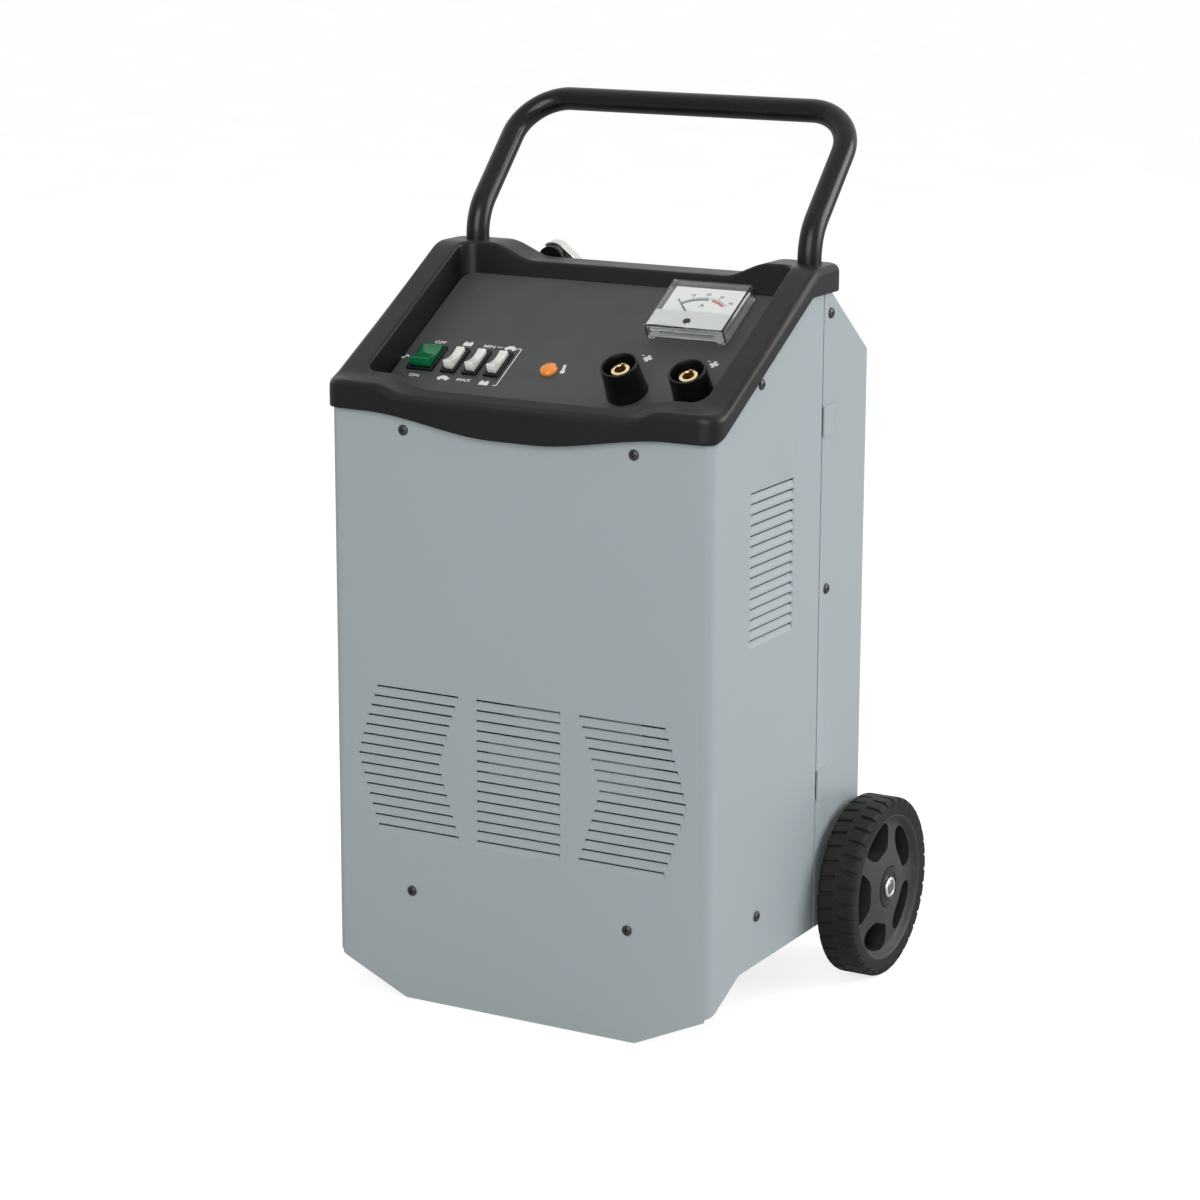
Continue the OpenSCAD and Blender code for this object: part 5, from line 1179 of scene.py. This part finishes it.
def wheel(s, side, tag):
    """One wheel: tyre, rim with its web, barrel and hub, and the bush, on the wheel's own body."""
    w = sizes(s.charger_wheels)
    body = "wheel_" + tag
    ww = w.width
    surface, edge = tyre_surface(w)
    put("tyre_tread_" + tag, on_wheel(s, surface, side), "tyre_plastic", body, ["tyre_" + tag], sharp=40,
        edge=edge)
    put("rim_web_" + tag, on_wheel(s, wheel_web(w), side), "wheel_plastic", body, ["rim_" + tag], sharp=38)
    play = w.axle / 2 + 0.08
    flange = 17.5
    bush = lathe([[play, 0], [w.axle / 2 + 3.9, 0], [w.axle / 2 + 3.9, ww - 2.95], [flange, ww - 2.95],
                  [flange, ww - 1.3], [flange - 0.3, ww - 0.8], [flange - 1.0, ww - 0.5],
                  [flange - 4.2, ww - 0.5], [flange - 4.8, ww - 0.9], [flange - 6.4, ww - 0.9],
                  [flange - 6.9, ww - 0.5], [play + 0.5, ww - 0.5], [play, ww - 0.9]], 96, wrap=True)
    put("bush_flange_" + tag, on_wheel(s, bush, side), "bush_black", body, ["bush_" + tag], sharp=32)


def axle_and_nuts(s):
    """The axle with its turned ends, and the domed push nuts that hold the wheels on."""
    w = sizes(s.charger_wheels)
    half = s.charger_cabinet.width / MM / 2
    end = half + w.gap + w.width + 1.5
    r = w.axle / 2
    rod = lathe([[0.01, -end], [r - 1, -end], [r - 0.3, -end + 0.5], [r, -end + 1.2], [r, end - 1.2],
                 [r - 0.3, end - 0.5], [r - 1, end], [0.01, end]], 64)
    put("axle_rod", turned(rod, (0, 1, 0), (0, 0, 1), (0, w.axle_y, w.diameter / 2)), "axle_dark",
        nodes=["axle"])
    z = w.width - 3 + 2.5 + 0.3
    cap = [[r + 0.02, z], [r + 2.7, z], [r + 2.7, z + 0.5], [r + 2.4, z + 0.95], [r + 1.8, z + 1.4],
           [r + 1.0, z + 1.6], [r + 0.35, z + 1.35], [r + 0.02, z + 0.9]]
    nuts = join([on_wheel(s, lathe(cap, 72, wrap=True), side) for side in (-1, 1)])
    put("push_nut_caps", nuts, "zinc_plate", nodes=["push_nuts"], sharp=50)


# ------------------------------------------------------------------ switches and lamp


SWITCH_WALL = 1.6  # width of a switch's bezel outside its body
WELL_SIDE, WELL_END = 1.3, 0.9  # walls between the body and the well, along and across the rocker's axis


def switch_case(w, l):
    """A switch body: one outline carried over its bezel and down into the well, with rounded edges."""
    inner_w, inner_l = w - 2 * SWITCH_WALL, l - 2 * SWITCH_WALL
    outer, well = rounded(w, l, 1.5, 5), rounded(inner_w - 2 * WELL_SIDE, inner_l - 2 * WELL_END, 0.7, 5)
    body = rounded(inner_w, inner_l, 0.4, 5)
    loops = [(body, 0, -18), (body, 0, 0.1), (outer, 0.25, 0.1), (outer, 0, 0.35), (outer, 0, 1.35),
             (outer, 0.12, 1.75), (outer, 0.4, 2.05), (outer, 0.8, 2.2), (well, -0.75, 2.2),
             (well, -0.3, 2.08), (well, -0.05, 1.75), (well, 0, 1.2), (well, 0, -12)]
    return loft([at_height(o, d, z) for o, d, z in loops])


def rocker_surface(s, w):
    """A rocker: its side profile carried across, drawn in at both ends so that its edges are round.

    The top is hollowed between two raised ends: z = 4.4 + 2.4 |u|^1.6.
    """
    half = s.charger_panel.switch_length / MM / 2 - SWITCH_WALL - WELL_END - 0.85
    u = np.linspace(-1, 1, 33)
    top = np.stack([u * (half - 0.8), 4.4 + 2.4 * np.abs(u) ** 1.6], -1)
    profile = np.vstack([[[-half, -0.2], [-half, 3], [-half, 6.0], [-half + 0.25, 6.5]], top,
                         [[half - 0.25, 6.5], [half, 6.0], [half, 3], [half, -0.2], [half - 3, -3],
                          [4, -7.5], [-4, -7.5], [-half + 3, -3]]])[::-1]
    wide = w - 2 * SWITCH_WALL - 2 * WELL_SIDE - 1.0
    steps = [(0.7, 0.0), (0.4, 0.06), (0.18, 0.2), (0.05, 0.42), (0.0, 0.75)]
    rows = [(d, -wide / 2 + x) for d, x in steps] + [(d, wide / 2 - x) for d, x in steps[::-1]]
    loops = [np.column_stack([np.full(len(profile), x), inset(profile, d)]) for d, x in rows]
    points, faces = loft(loops, "flat")
    t = -s.charger_panel.swing / 2
    turn = np.array([[1, 0, 0], [0, math.cos(t), math.sin(t)], [0, -math.sin(t), math.cos(t)]])
    return points @ turn + [0, 0, 0.6], faces


SWITCHES = (("mains", -128.4, "rocker_tint"), ("charge", -101.6, "rocker_ivory"),
            ("voltage", -81.2, "rocker_ivory"), ("rate", -60.8, "rocker_ivory"))
SWITCH_ALONG = 86.0


def switches(s):
    """The four rocker switches: a housing with blade terminals, and a rocker on its own body."""
    p = sizes(s.charger_panel)
    for name, x, look in SWITCHES:
        w = p.wide if name == "mains" else p.narrow
        case = switch_case(w, p.switch_length)
        blade = stack(rounded(0.8, 6.3, 0.2, 2), soft_steps(-27, -17, 0.3, 0))
        spots = [(a, b) for a in ((-5, 5) if name == "mains" else (0,))
                 for b in ((-9, 9) if name == "mains" else (-9, 0, 9))]
        blades = join([(blade[0] + [a, b, 0], blade[1]) for a, b in spots])
        put(f"{name}_switch_case", on_panel(s, case, x, SWITCH_ALONG), "bush_black",
            nodes=[f"{name}_switch_housing"], sharp=38)
        put(f"{name}_switch_blades", on_panel(s, blades, x, SWITCH_ALONG), "zinc_plate")
        put(f"{name}_rocker_key", on_panel(s, rocker_surface(s, w), x, SWITCH_ALONG), look,
            f"{name}_rocker", [f"{name}_rocker"], sharp=48)


def lamp(s):
    """The pilot lamp's domed lens: z = rim + rise cos(pi r / 2R), turned about its axis."""
    r = s.charger_panel.lamp / MM / 2
    t = np.linspace(1, 0.02, 12)
    dome = np.stack([(r - 1.2) * t, 3.2 + 1.6 * np.cos(t * np.pi / 2)], -1)
    profile = np.vstack([[[0.01, 0.1], [r, 0.1], [r, 1.5], [r - 0.12, 1.9], [r - 0.55, 2.8]], dome])
    put("lamp_dome", on_panel(s, lathe(profile, 72), -13.5, 85.5), "lamp_amber", nodes=["lamp_lens"],
        sharp=50)


# ------------------------------------------------------------------ sockets


SOCKETS = (("left", 66.0), ("right", 126.0))
SOCKET_ALONG = 68.5


def sockets(s):
    """The two output sockets: a flared cup with a rounded lip, and a keyed brass contact.

    The contact's inner edge is its bore's radius, or the key slot's edge where that lies further out.
    """
    p = sizes(s.charger_panel)
    r, h = p.socket / 2, p.socket_height
    z = np.linspace(0, 1, 9)[:, None]
    flare = np.hstack([r + 1.7 * (1 - z) ** 2.2, 0.5 + z * (h - 2.0)])
    cup = np.vstack([[[11, -20], [11, 0.1], [r + 1.5, 0.1]], flare,
                     arc(r - 0.75, h - 0.75, 0.75, 20, 90, 5), arc(r - 1.35, h - 0.6, 0.6, 100, 170, 4),
                     [[13.3, h - 4], [13.0, h - 16.6], [12.6, h - 17], [6.65, h - 17],
                      [6.65, -20]]])
    a = np.linspace(0, 2 * np.pi, 128, endpoint=False)
    bore = p.bore / 2 + 0 * a
    with np.errstate(divide="ignore"):
        key = np.where(np.sin(a) > 0,
                       np.minimum(6.5 / np.maximum(np.sin(a), 1e-6),
                                  1.6 / np.maximum(np.abs(np.cos(a)), 1e-6)), 0)
    slot, top = np.maximum(bore, key), h - 4.5
    outer = 7.65
    rows = [(4.0, -38), (4.0, -24), (6.5, -24), (6.5, h - 16.9), (outer, h - 16.9), (outer, top - 0.6),
            (outer - 0.15, top - 0.2), (outer - 0.6, top), (slot + 0.35, top), (slot + 0.05, top - 0.3),
            (slot, top - 0.6), (slot, top - 14), (bore, top - 14), (bore, top - 23.6),
            (bore * 0.4, top - 24)]
    loops = [ring(radius, a, z) for radius, z in rows]
    for name, x in SOCKETS:
        put(f"{name}_socket_cup", on_panel(s, lathe(cup, 96, wrap=True), x, SOCKET_ALONG), "socket_black",
            nodes=[f"{name}_socket_housing"], sharp=35)
        put(f"{name}_socket_contact", on_panel(s, loft(loops), x, SOCKET_ALONG), "turned_brass",
            nodes=[f"{name}_socket_insert"], sharp=35)


# ------------------------------------------------------------------ meter

METER = (86.7, 166.5)


def lettering(text, x, y, size, stretch, z0, z1):
    """Text as a surface in the plane: scaled so that its capitals are size high, and centred on x and y."""
    curve = bpy.data.curves.new("lettering", "FONT")
    curve.body, curve.extrude, curve.resolution_u, curve.offset = text, 0.5, 4, 0.018
    curve.align_x, curve.align_y = "CENTER", "CENTER"
    obj = bpy.data.objects.new("lettering", curve)
    bpy.context.scene.collection.objects.link(obj)
    mesh = bpy.data.meshes.new_from_object(obj.evaluated_get(bpy.context.evaluated_depsgraph_get()))
    bm = bmesh.new()
    bm.from_mesh(mesh)
    bmesh.ops.remove_doubles(bm, verts=bm.verts, dist=1e-5)
    points, faces = arrays(bm)
    bpy.data.objects.remove(obj)
    bpy.data.curves.remove(curve)
    bpy.data.meshes.remove(mesh)
    low, high = points.min(0), points.max(0)
    k = size / (high[1] - low[1])
    points[:, 0] = (points[:, 0] - (low[0] + high[0]) / 2) * k * stretch + x
    points[:, 1] = (points[:, 1] - (low[1] + high[1]) / 2) * k + y
    points[:, 2] = np.where(points[:, 2] > 0, z1, z0)
    return points, faces


def bar(x, y, w, l, z0, z1, r=0.0):
    """A flat printed bar centred on x and y."""
    points, faces = stack(rounded(w, l, r or min(w, l) * 0.12, 2), [(0, z0), (0, z1)])
    return points + [x, y, 0], faces


def scale_arc(a0, a1, radius, width, z0, z1, centre):
    """A printed arc of the scale: a band about the needle's pivot."""
    t = np.radians(np.linspace(a0, a1, 40))
    return ribbon(np.stack([centre[0] + radius * np.cos(t), centre[1] + radius * np.sin(t)], -1), width, z0,
                  z1)


def meter(s):
    """The panel meter: a clear cover with soft edges, its dial's print and the slotted zero screw."""
    softened("meter_cover", "meter_cover_clear", "meter_glass", 0.3, segments=2)
    softened("meter_zero_screw", "meter_zero_slot", "screw_black", 0.08)
    pivot = (0.0, -15.5)
    z0, z1 = 7.21, 7.26
    r = 30.0
    black = [scale_arc(132, 48, r, 0.45, z0, z1, pivot)]
    for k in range(21):
        a = math.radians(132 - 84 * k / 20)
        long = k % 5 == 0
        d = np.array([math.cos(a), math.sin(a)])
        line = [np.array(pivot) + d * (r + 0.1), np.array(pivot) + d * (r + (3.0 if long else 1.7))]
        black.append(ribbon(line, 0.42 if long else 0.28, z0 + 0.004, z1 + 0.004))
        if long:
            spot = np.array(pivot) + d * (r + 5.3)
            black.append(lettering(str(10 * k // 5), spot[0], spot[1], 3.0, 1.0, z0, z1))
    black.append(lettering("A", 0, 5.5, 4.4, 1.0, z0, z1))
    x, y = METER
    put("dial_marks", on_panel(s, join(black), x, y), "dial_black", sharp=30)
    put("dial_green_band", on_panel(s, scale_arc(131, 84, r - 1.8, 2.2, z0, z1, pivot), x, y), "dial_green",
        sharp=30)
    put("dial_red_band", on_panel(s, scale_arc(78, 49, r - 1.8, 2.2, z0, z1, pivot), x, y), "dial_red",
        sharp=30)


# ------------------------------------------------------------------ printed marks

PRINT_GAP = 0.02  # between the panel and its print
OVERLAP_LIFT = 0.003  # of a printed shape that lies over another


def printed_marks(s):
    """Generic white marks on the panel: switch positions, a bracket, a lamp sign, polarity and pictures."""
    z = (PRINT_GAP, PRINT_GAP + s.charger_panel.print_height / MM)
    over = (z[0] + OVERLAP_LIFT, z[1] + OVERLAP_LIFT)
    up, down = SWITCH_ALONG + 15.5, SWITCH_ALONG - 15.5
    words = (("OFF", -127.0, up + 6.0, 1.35), ("ON", -129.5, down - 6.2, 1.35),
             ("MIN", -80.4, up + 6.4, 1.3), ("MAX", -82.2, down - 6.4, 1.3))
    marks = [lettering(text, x, y, 3.4, stretch, *z) for text, x, y, stretch in words]
    marks += [bracket(z, up, down), bar(-70.6, up + 6.6, 5.6, 0.9, *z),
              ribbon([(-2.8, 94.0), (-2.0, 89.8), (-1.2, 85.6)], 2.5, *z), disc(-1.2, 85.4, 2.3, over),
              wave(-149.8, SWITCH_ALONG, z)]
    for x in (64.2, 123.2):
        marks += [bar(x, 111, 7.6, 2.9, *z), bar(x, 111, 2.9, 7.6, *over),
                  bar(x - 5.8, 114.4, 2.4, 0.9, *z)]
    marks += battery(-101.2, up + 7.2, z) + car(-60.4, up + 6.6, z, over) + car(-101.6, down - 6.0, z, over)
    marks += battery(-62.6, down - 7.4, z)
    put("panel_print", on_panel(s, join(marks), 0, 0), "print_white", sharp=30)


def bracket(z, up, down):
    """The line that ties the rate marks together: along the top, down the side and back below."""
    line = np.array([(-54.2, up + 6.6), (-50.6, up + 6.6), (-50.3, up + 6.3), (-50.3, down - 9.1),
                     (-50.6, down - 9.4), (-53.5, down - 9.4)])
    return ribbon(line, 0.9, *z)


def disc(x, y, r, z):
    """A flat printed disc."""
    a = np.linspace(0, 2 * np.pi, 28, endpoint=False)
    points, faces = stack(np.stack([r * np.cos(a), r * np.sin(a)], -1), [(0, z[0]), (0, z[1])])
    return points + [x, y, 0], faces


def wave(x, y, z):
    """An alternating-current sign: one period of a sine."""
    t = np.linspace(-np.pi, np.pi, 33)
    return ribbon(np.stack([x + t * 1.0, y + 1.8 * np.sin(t)], -1), 1.2, *z)


def battery(x, y, z):
    """A battery sign: a box with two terminals."""
    return [bar(x, y - 0.6, 8.6, 4.4, *z, 0.4)] + [bar(x + k, y + 2.3, 1.8, 1.1, *z) for k in (-2.5, 2.5)]


def car(x, y, z, over):
    """A car sign: its side view as one outline, over two wheels."""
    body = np.array([(-5.6, -1.6), (5.6, -1.6), (5.7, 0.3), (3.8, 0.8), (2.0, 2.6), (-2.4, 2.6),
                     (-4.2, 0.9), (-5.6, 0.5)])
    points, faces = stack(body, [(0, z[0]), (0, z[1])])
    return [(points + [x, y, 0], faces)] + [disc(x + k, y - 2.0, 1.25, over) for k in (-3.2, 3.2)]


# ------------------------------------------------------------------ fasteners, gland and hook


SCREW_HEAD = 8.6  # diameter


def screw_surface(shank, l):
    """A screw with a domed head and a cross recess.

    Dome: z = low + rise sqrt(1 - (r/R)^2). The recess lowers it where the point lies in either arm of the
    cross.
    """
    R = SCREW_HEAD / 2
    a = np.linspace(0, 2 * np.pi, 96, endpoint=False)
    rows = [(0.4, -l), (shank / 2 * 0.75, -l), (shank / 2, -l + 0.8), (shank / 2, 0.1), (R - 0.15, 0.1),
            (R, 0.3), (R, 0.9)]
    loops = [ring(r, a, z) for r, z in rows]
    for r in np.concatenate([np.linspace(R * 0.985, R * 0.62, 8), np.linspace(2.45, 0.15, 14)]):
        x, y = r * np.cos(a), r * np.sin(a)
        dome = 0.9 + 1.55 * np.sqrt(np.maximum(0, 1 - (r / R) ** 2))
        arm = np.maximum(1 - step(0.42, 0.66, np.abs(x)), 1 - step(0.42, 0.66, np.abs(y)))
        deep = 1.35 * arm * (1 - step(1.9, 2.4, r))
        loops.append(np.stack([x, y, dome - deep], -1))
    return loft(loops)


def screws(s):
    """All the case screws, with cross-recessed domed heads, at the centres of the CAD screws."""
    cab, h = sizes(s.charger_cabinet), sizes(s.charger_handle)
    hx = cab.width / 2
    front_at = ((104.7, cab.body_height - 13.5), (100.7, 93.6))
    side_at = ((75.5, cab.body_height + 36.1), (79.1, 94.7))
    leg_at = (shoulder_height(s) - 39.1, h.leg_bottom + 18.7)
    rear_x, rear_z = 120, 89
    small = screw_surface(3.6, 8)
    long = screw_surface(4.4, h.leg_inset + h.diameter / 2 + 4)
    up = (0, 0, 1)
    front = [turned(small, (1, 0, 0), up, (k * x, 0, z)) for k in (-1, 1) for x, z in front_at]
    side = [turned(small, (0, k, 0), up, (k * hx, y, z)) for k in (-1, 1) for y, z in side_at]
    legs = [turned(long, (0, k, 0), up, (k * hx, h.leg_y, z)) for k in (-1, 1) for z in leg_at]
    rear = [turned(small, (-1, 0, 0), up, (k * rear_x, cab.depth, rear_z)) for k in (-1, 1)]
    for name, group in (("front_screws", front), ("side_screws", side), ("handle_screws", legs),
                        ("rear_screws", rear)):
        put(name.replace("screws", "screw_heads"), join(group), "screw_black", nodes=[name], sharp=40)


def strap(s):
    """The strap's centre line and width vectors: foot, bend, upright leg, knee, slanted leg and curl.

    The leg's plane leans back by the tilt. Its width vector slides along the leg until it lies on the
    cover's slope, where the leg bends into the foot, so the strap's edges stay straight down to the bend.
    """
    k, cab = sizes(s.charger_strap), sizes(s.charger_cabinet)
    rest, tilt, fall = k.rest, k.tilt, math.atan(cab.top_fall)
    mid = k.inner_radius + k.thickness / 2
    leg_x = k.foot_x - k.thickness / 2

    def leg(d):
        across, up = math.cos(rest), math.sin(rest)
        return k.x + mid * across + d * up, k.z + mid * up - d * across

    meet = (leg_x - k.x - mid * math.cos(rest)) / math.sin(rest)
    corner, above = np.array(leg(meet)), np.array(leg(meet - 4.5))
    below = np.array([leg_x, leg(meet)[1] - 4.5])
    u = np.linspace(0, 1, 9)[:, None]
    knee = (1 - u) ** 2 * below + 2 * u * (1 - u) * corner + u * u * above
    curl = arc(k.x, k.z, mid, math.degrees(rest), math.degrees(k.curl_end), 20)
    flat = np.vstack([knee, curl])
    back, up = np.array([0, math.cos(tilt), math.sin(tilt)]), np.array([0, -math.sin(tilt), math.cos(tilt)])
    line = np.column_stack([flat[:, 0], np.full(len(flat), k.y),
                            np.full(len(flat), k.z)]) + (flat[:, 1:] - k.z) * up
    slope = np.array([0, math.cos(fall), -math.sin(fall)])
    normal = np.array([0, math.sin(fall), math.cos(fall)])

    foot_y = k.y + k.lean_y
    foot = on_cover(cab, foot_y) + normal * (k.thickness / 2 + 0.1)
    r = k.thickness / 2 + 1.0
    a = np.linspace(0, np.pi / 2, 8)[:, None]
    bend = foot + [leg_x + r, 0, 0] + r * normal - r * (np.sin(a) * [1, 0, 0] + np.cos(a) * normal)
    ground = foot + np.array([[k.foot_x + k.foot_length - 0.05, 0, 0],
                              [k.foot_x + k.foot_length / 2, 0, 0]])
    path = np.vstack([ground, bend, line])
    slid = k.width * (back - up * math.tan(tilt + fall))
    width = np.vstack([np.tile(slope * k.foot_width, (len(ground) + len(bend), 1)),
                       np.tile(back * k.width, (len(line), 1))])
    width[len(ground) + len(bend) - 1] = -slid if slid @ slope < 0 else slid
    return path, width


STRAP_CUT = 0.35  # width of the strap's cut corners


def strap_surface(path, width, thickness):
    """A flat bar along a path: a rectangle in the width vector and the normal, with cut corners."""
    tangent = np.gradient(path, axis=0)
    normal = np.cross(tangent, width)
    normal /= np.linalg.norm(normal, axis=1)[:, None]
    reach = np.linalg.norm(width, axis=1)[:, None, None]
    half = thickness / 2
    edge = half - STRAP_CUT
    section = np.array([(0.5, edge), (0.5, -edge), (None, -half), (None, -half), (-0.5, -edge),
                        (-0.5, edge), (None, half), (None, half)], float)
    inner = 0.5 - STRAP_CUT / reach[..., 0]
    across = np.stack([section[:, 0]] * len(path))
    across[:, [2, 7]] = inner
    across[:, [3, 6]] = -inner
    return loft(path[:, None] + across[..., None] * width[:, None] + section[None, :, 1:] * normal[:, None],
                "flat")


def hook_and_gland(s):
    """The plated strap that spare leads hang from, the block under its curl, their rivets and the gland."""
    k, cab = sizes(s.charger_strap), sizes(s.charger_cabinet)
    path, width = strap(s)
    put("lead_strap", strap_surface(path, width, k.thickness), "zinc_plate", nodes=["cable_hook"], sharp=30)
    softened("hook_block", "lead_strap_block", "bush_black", 0.9, segments=3)
    fall = math.atan(cab.top_fall)
    spot = on_cover(cab, k.y + k.lean_y)
    head = [(0.01, 4.0), (1.4, 3.85), (2.6, 3.35), (3.4, 2.75), (3.7, 2.25), (3.7, 2.15), (2.0, 2.15)]
    tail = [(2.0, -2.95), (2.0, -1.35), (3.0, -1.35), (3.0, -2.6), (2.7, -2.95), (0.01, -2.95)]
    rivet = lathe(head + tail[1:], 40)
    stud = lathe([(0.01, 7.8), (1.6, 7.8), (2.0, 7.4), (2.0, -1.35), (4.0, -1.35), (4.0, -2.9),
                  (3.6, -3.35), (0.01, -3.35)], 40)
    up = (0, math.cos(fall), -math.sin(fall))
    placed = [turned(rivet, (1, 0, 0), up, spot + [k.foot_x + x, 0, 0]) for x in (5.5, 15.5)]
    placed.append(turned(stud, (1, 0, 0), up, spot + [k.x, 0, 0]))
    put("lead_strap_rivets", join(placed), "zinc_plate", nodes=["hook_rivets"], sharp=32)
    softened("cable_gland", "mains_gland", "bush_black", 0.4)


# ------------------------------------------------------------------ stage

CAMERA_AT = Vector((1.3099, -2.35905, 0.9569))
CAMERA_AIM = Vector((0.0752, -0.16035, 0.3597))
CAMERA_ROLL = 0.17  # degrees
FLOOR_REACH, FLOOR_Z = 30, -0.0005  # half the floor's width, and its height just under the feet, in metres


def stage_set(s):
    """Floor, world, two soft lamps and the camera.

    The world and floor show white to the camera and through clear plastic, and reflections see them too,
    dimmer towards the front, where the even light is also weaker.
    """
    st = s.charger_stage
    scene = bpy.context.scene
    scene.view_settings.view_transform = "Standard"

    world = bpy.data.worlds.new("plain_studio")
    world.use_nodes = True
    t = Tree(world.node_tree)
    world.node_tree.nodes.clear()
    seen, gloss = t.seen()
    way = t.node("SeparateXYZ")
    t.set(way, 0, t.node("TexCoord").outputs["Generated"])
    ramp = t.node("MapRange")
    for key, value in (("Value", way.outputs["Y"]), ("From Min", -0.9), ("From Max", 0.3),
                       ("To Min", st.front_sky), ("To Max", 1.0)):
        t.set(ramp, key, value)
    level = t.mix("FLOAT", gloss, st.sky, 1.0)
    light = t.node("Background")
    light.inputs["Color"].default_value = (1, 1, 1, 1)
    t.set(light, "Strength", t.mix("FLOAT", seen, t.maths("MULTIPLY", ramp.outputs["Result"], level), 1.0))
    t.set(t.node("OutputWorld"), "Surface", light.outputs[0])
    scene.world = world

    mat = bpy.data.materials.new("floor_pale")
    mat.use_nodes = True
    t = Tree(mat.node_tree)
    shader = mat.node_tree.nodes["Principled BSDF"]
    seen, gloss = t.seen()
    seen = t.maths("MAXIMUM", seen, t.maths("MULTIPLY", gloss, st.floor_gloss))
    place = t.node("TexCoord").outputs["Object"]
    t.set(shader, "Base Color",
          use(t, "tone_drift", Vector=place, Base=rgba(st.floor), Tint=rgba(st.floor, 0.98), Scale=3.0,
              Amount=0.5))
    t.set(shader, "Roughness", use(t, "handling", Vector=place, Scale=4.0, Low=0.7, High=0.8))
    shader.inputs["Emission Color"].default_value = (1, 1, 1, 1)
    t.set(shader, "Emission Strength", t.maths("MULTIPLY", seen, st.floor_white))
    mesh = bpy.data.meshes.new("floor")
    corners = [(x * FLOOR_REACH, y * FLOOR_REACH, FLOOR_Z) for x, y in ((-1, -1), (1, -1), (1, 1), (-1, 1))]
    mesh.from_pydata(corners, [], [(0, 1, 2, 3)])
    mesh.materials.append(mat)
    floor = bpy.data.objects.new("floor", mesh)
    scene.collection.objects.link(floor)
    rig.stage(floor)

    for name, power, size, spot, aim in (
            ("key_right", st.key, 2.0, (3.0, 1.4, 1.6), (0, 0, 0.35)),
            ("fill_front", st.fill, 3.0, (1.0, -4.0, 2.0), (0, 0, 0.35))):
        lamp_data = bpy.data.lights.new(name, "AREA")
        lamp_data.energy, lamp_data.size = power, size
        lamp_obj = bpy.data.objects.new(name, lamp_data)
        lamp_obj.location = spot
        lamp_obj.rotation_euler = (Vector(aim) - Vector(spot)).to_track_quat("-Z", "Y").to_euler()
        scene.collection.objects.link(lamp_obj)

    cam = bpy.data.cameras.new("camera")
    cam.lens, cam.sensor_width, cam.sensor_fit = st.lens, 36.0, "HORIZONTAL"
    cam.clip_start, cam.clip_end = 0.05, 100
    obj = bpy.data.objects.new("camera", cam)
    obj.location = CAMERA_AT
    turn = (CAMERA_AIM - CAMERA_AT).to_track_quat("-Z", "Y").to_matrix()
    turn = turn @ Matrix.Rotation(math.radians(CAMERA_ROLL), 3, "Z")
    obj.rotation_euler = turn.to_euler()
    scene.collection.objects.link(obj)
    scene.camera = obj


# ------------------------------------------------------------------ operators and panel


def operator(idname, label, text, build):
    """An Operator class that builds one piece or group."""

    def execute(self, context):
        build(context.scene)
        return {"FINISHED"}

    name = "CHARGER_OT_" + idname
    rows = {"bl_idname": "charger." + idname, "bl_label": label, "__doc__": text,
            "bl_options": {"REGISTER"}, "execute": execute}
    return type(name, (bpy.types.Operator,), rows)


OPERATORS = (
    operator("finishes", "Finishes", "Make every material and shared effect", build_finishes),
    operator("inside", "Base and inside", "Finish the CAD pieces that keep their shapes", base_and_inside),
    operator("windings", "Windings", "Build the wound coils", windings),
    operator("cabinet", "Cabinet sheets", "Build the front shell and rear cover", cabinet_sheets),
    operator("bezel", "Bezel", "Build the moulded top", bezel_moulding),
    operator("handle", "Handle", "Build the bent tube", handle),
    operator("wheel_left", "Left wheel", "Build the left wheel", lambda s: wheel(s, -1, "left")),
    operator("wheel_right", "Right wheel", "Build the right wheel", lambda s: wheel(s, 1, "right")),
    operator("axle", "Axle and push nuts", "Build the axle and its push nuts", axle_and_nuts),
    operator("switches", "Switches", "Build the switch housings and rockers", switches),
    operator("lamp", "Lamp", "Build the pilot lamp", lamp),
    operator("sockets", "Output sockets", "Build the socket cups and contacts", sockets),
    operator("meter", "Meter", "Build the meter's cover and dial print", meter),
    operator("marks", "Printed marks", "Print the generic marks on the panel", printed_marks),
    operator("screws", "Screws", "Build the case screws", screws),
    operator("hook", "Hook and gland", "Build the strap hook and the gland", hook_and_gland),
    operator("stage", "Stage", "Set the floor, lamps and camera", stage_set),
)


class CHARGER_PT_build(bpy.types.Panel):
    """Lists the sizes, colours and build steps"""

    bl_idname = "CHARGER_PT_build"
    bl_label = "Battery charger"
    bl_space_type = "VIEW_3D"
    bl_region_type = "UI"
    bl_category = "Charger"

    def draw(self, context):
        for key in GROUPS:
            box = self.layout.box()
            group = getattr(context.scene, key)
            for name in group.bl_rna.properties.keys():
                if name not in ("rna_type", "name"):
                    box.prop(group, name)
        for op in OPERATORS:
            self.layout.operator(op.bl_idname)


def register():
    for cls in (*GROUPS.values(), *OPERATORS, CHARGER_PT_build):
        bpy.utils.register_class(cls)
    for key, cls in GROUPS.items():
        setattr(bpy.types.Scene, key, PointerProperty(type=cls))


def unregister():
    for key in GROUPS:
        delattr(bpy.types.Scene, key)
    for cls in reversed((*GROUPS.values(), *OPERATORS, CHARGER_PT_build)):
        bpy.utils.unregister_class(cls)


def main():
    """Registers the add-on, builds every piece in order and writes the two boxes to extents.json."""
    register()
    for op in OPERATORS:
        getattr(bpy.ops.charger, op.bl_idname.split(".")[1])()
    box = [list(corner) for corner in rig.bounds()]
    with open("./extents.json", "w") as f:
        json.dump({"cad": CAD_BOX, "visual": box}, f)


if __name__ == "__main__":
    main()
